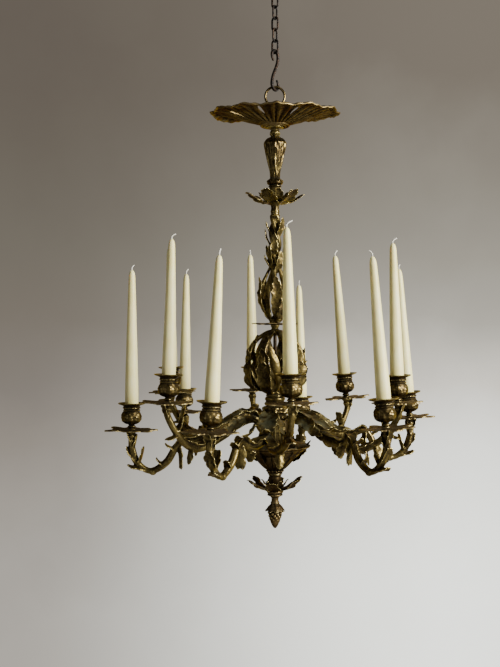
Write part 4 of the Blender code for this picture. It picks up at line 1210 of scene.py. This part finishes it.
def armLeaves(shape, trunk, root, lowPath, highPath, lowAngle, highAngle):
    vary = draw.uniform
    side = around(trunk + 90, 1, 0)
    # the broad leaf over the trunk, and its two flanking leaves
    back = [around(trunk, 26 * mm, root + 4 * mm), around(trunk, 40 * mm, root + 14 * mm),
            around(trunk, 62 * mm, root + 14 * mm),
            around(trunk, 86 * mm, root + 2 * mm), around(trunk + vary(-2, 2), 108 * mm, root - 8 * mm),
            around(trunk, 118 * mm, root - 1 * mm)]
    addLeaf(shape, back, 17 * mm, side, 6, 0.38, -0.30, 2.4 * mm)
    for hand in (-1, 1):
        flank = [around(trunk + hand * 6, 30 * mm, root + 2 * mm),
                 around(trunk + hand * 15, 54 * mm, root + 8 * mm),
                 around(trunk + hand * 15, 78 * mm, root + 1 * mm),
                 around(trunk + hand * 15, 102 * mm, root - 12 * mm),
                 around(trunk + hand * 18, 124 * mm, root - 13 * mm)]
        addLeaf(shape, flank, 12 * mm, Matrix.Rotation(radians(-35 * hand), 3, around(trunk, 1, 0)) @ side,
                5, 0.4, -0.25, 2.2 * mm)
    # along the low branch: over its start, hanging at the bend, inside the scroll and at the elbow
    middle = (lowAngle + trunk) / 2
    along = [around(trunk, 92 * mm, root - 12 * mm)] + [lowPath[k] + Vector((0, 0, 5 * mm)) for k in (8, 13,
            18)]
    addLeaf(shape, along, 12 * mm, around(middle + 90, 1, 0), 5, 0.36, -0.3, 2.6 * mm)
    leafOn(shape, lowPath, 0.17, -7 * mm, -19 * mm, 11 * mm, turn=12, hug=0.2)
    leafOn(shape, lowPath, 0.26, -2 * mm, -38 * mm, 10.5 * mm, turn=10, hug=0.15, curl=0.05, thick=3.2 * mm)
    leafOn(shape, lowPath, 0.30, 15 * mm, 7 * mm, 8 * mm, turn=vary(-12, 12), teeth=3, hug=0.1)
    leafOn(shape, lowPath, 0.41, 12 * mm, 9 * mm, 7 * mm, teeth=2, hug=0.3)
    addBall(shape, lowPath[int(0.49 * len(lowPath))] - Vector((0, 0, 1 * mm)), 6.6 * mm, 12)
    leafOn(shape, lowPath, 0.54, 26 * mm, 6 * mm, 9 * mm, turn=vary(-10, 10), teeth=3, hug=0.3,
           thick=4.4 * mm)
    leafOn(shape, lowPath, 0.64, 15 * mm, 21 * mm, 9.5 * mm, turn=vary(-10, 10), teeth=3, hug=0.2,
           curl=0.15)
    leafOn(shape, lowPath, 0.62, -8 * mm, 27 * mm, 11 * mm, turn=vary(-12, 12), hug=0.5, curl=0.1)
    leafOn(shape, lowPath, 0.72, -7 * mm, 25 * mm, 8.5 * mm, hug=0.6, curl=0.1)
    leafOn(shape, lowPath, 0.78, 7 * mm, 18 * mm, 7.5 * mm, hug=0.6, curl=0.2)
    # along the high branch
    along = [around(trunk, 92 * mm, root - 12 * mm)] + [highPath[k] + Vector((0, 0, 5 * mm)) for k in (8,
            13, 17)]
    addLeaf(shape, along, 11 * mm, around((highAngle + trunk) / 2 + 90, 1, 0), 5, 0.36, -0.3, 2.6 * mm)
    leafOn(shape, highPath, 0.30, 6 * mm, -20 * mm, 9 * mm, teeth=3, hug=0.3)
    leafOn(shape, highPath, 0.48, 22 * mm, -4 * mm, 9 * mm, turn=vary(-10, 10), teeth=3, hug=0.1,
           thick=3.4 * mm)
    leafOn(shape, highPath, 0.52, -9 * mm, 24 * mm, 9 * mm, turn=vary(-10, 10), hug=0.5, curl=0.1)
    leafOn(shape, highPath, 0.66, 8 * mm, 20 * mm, 8 * mm, hug=0.5, curl=0.2)


for number in range(1, armCount + 1):
    makeArm(number)
print("arms cast")
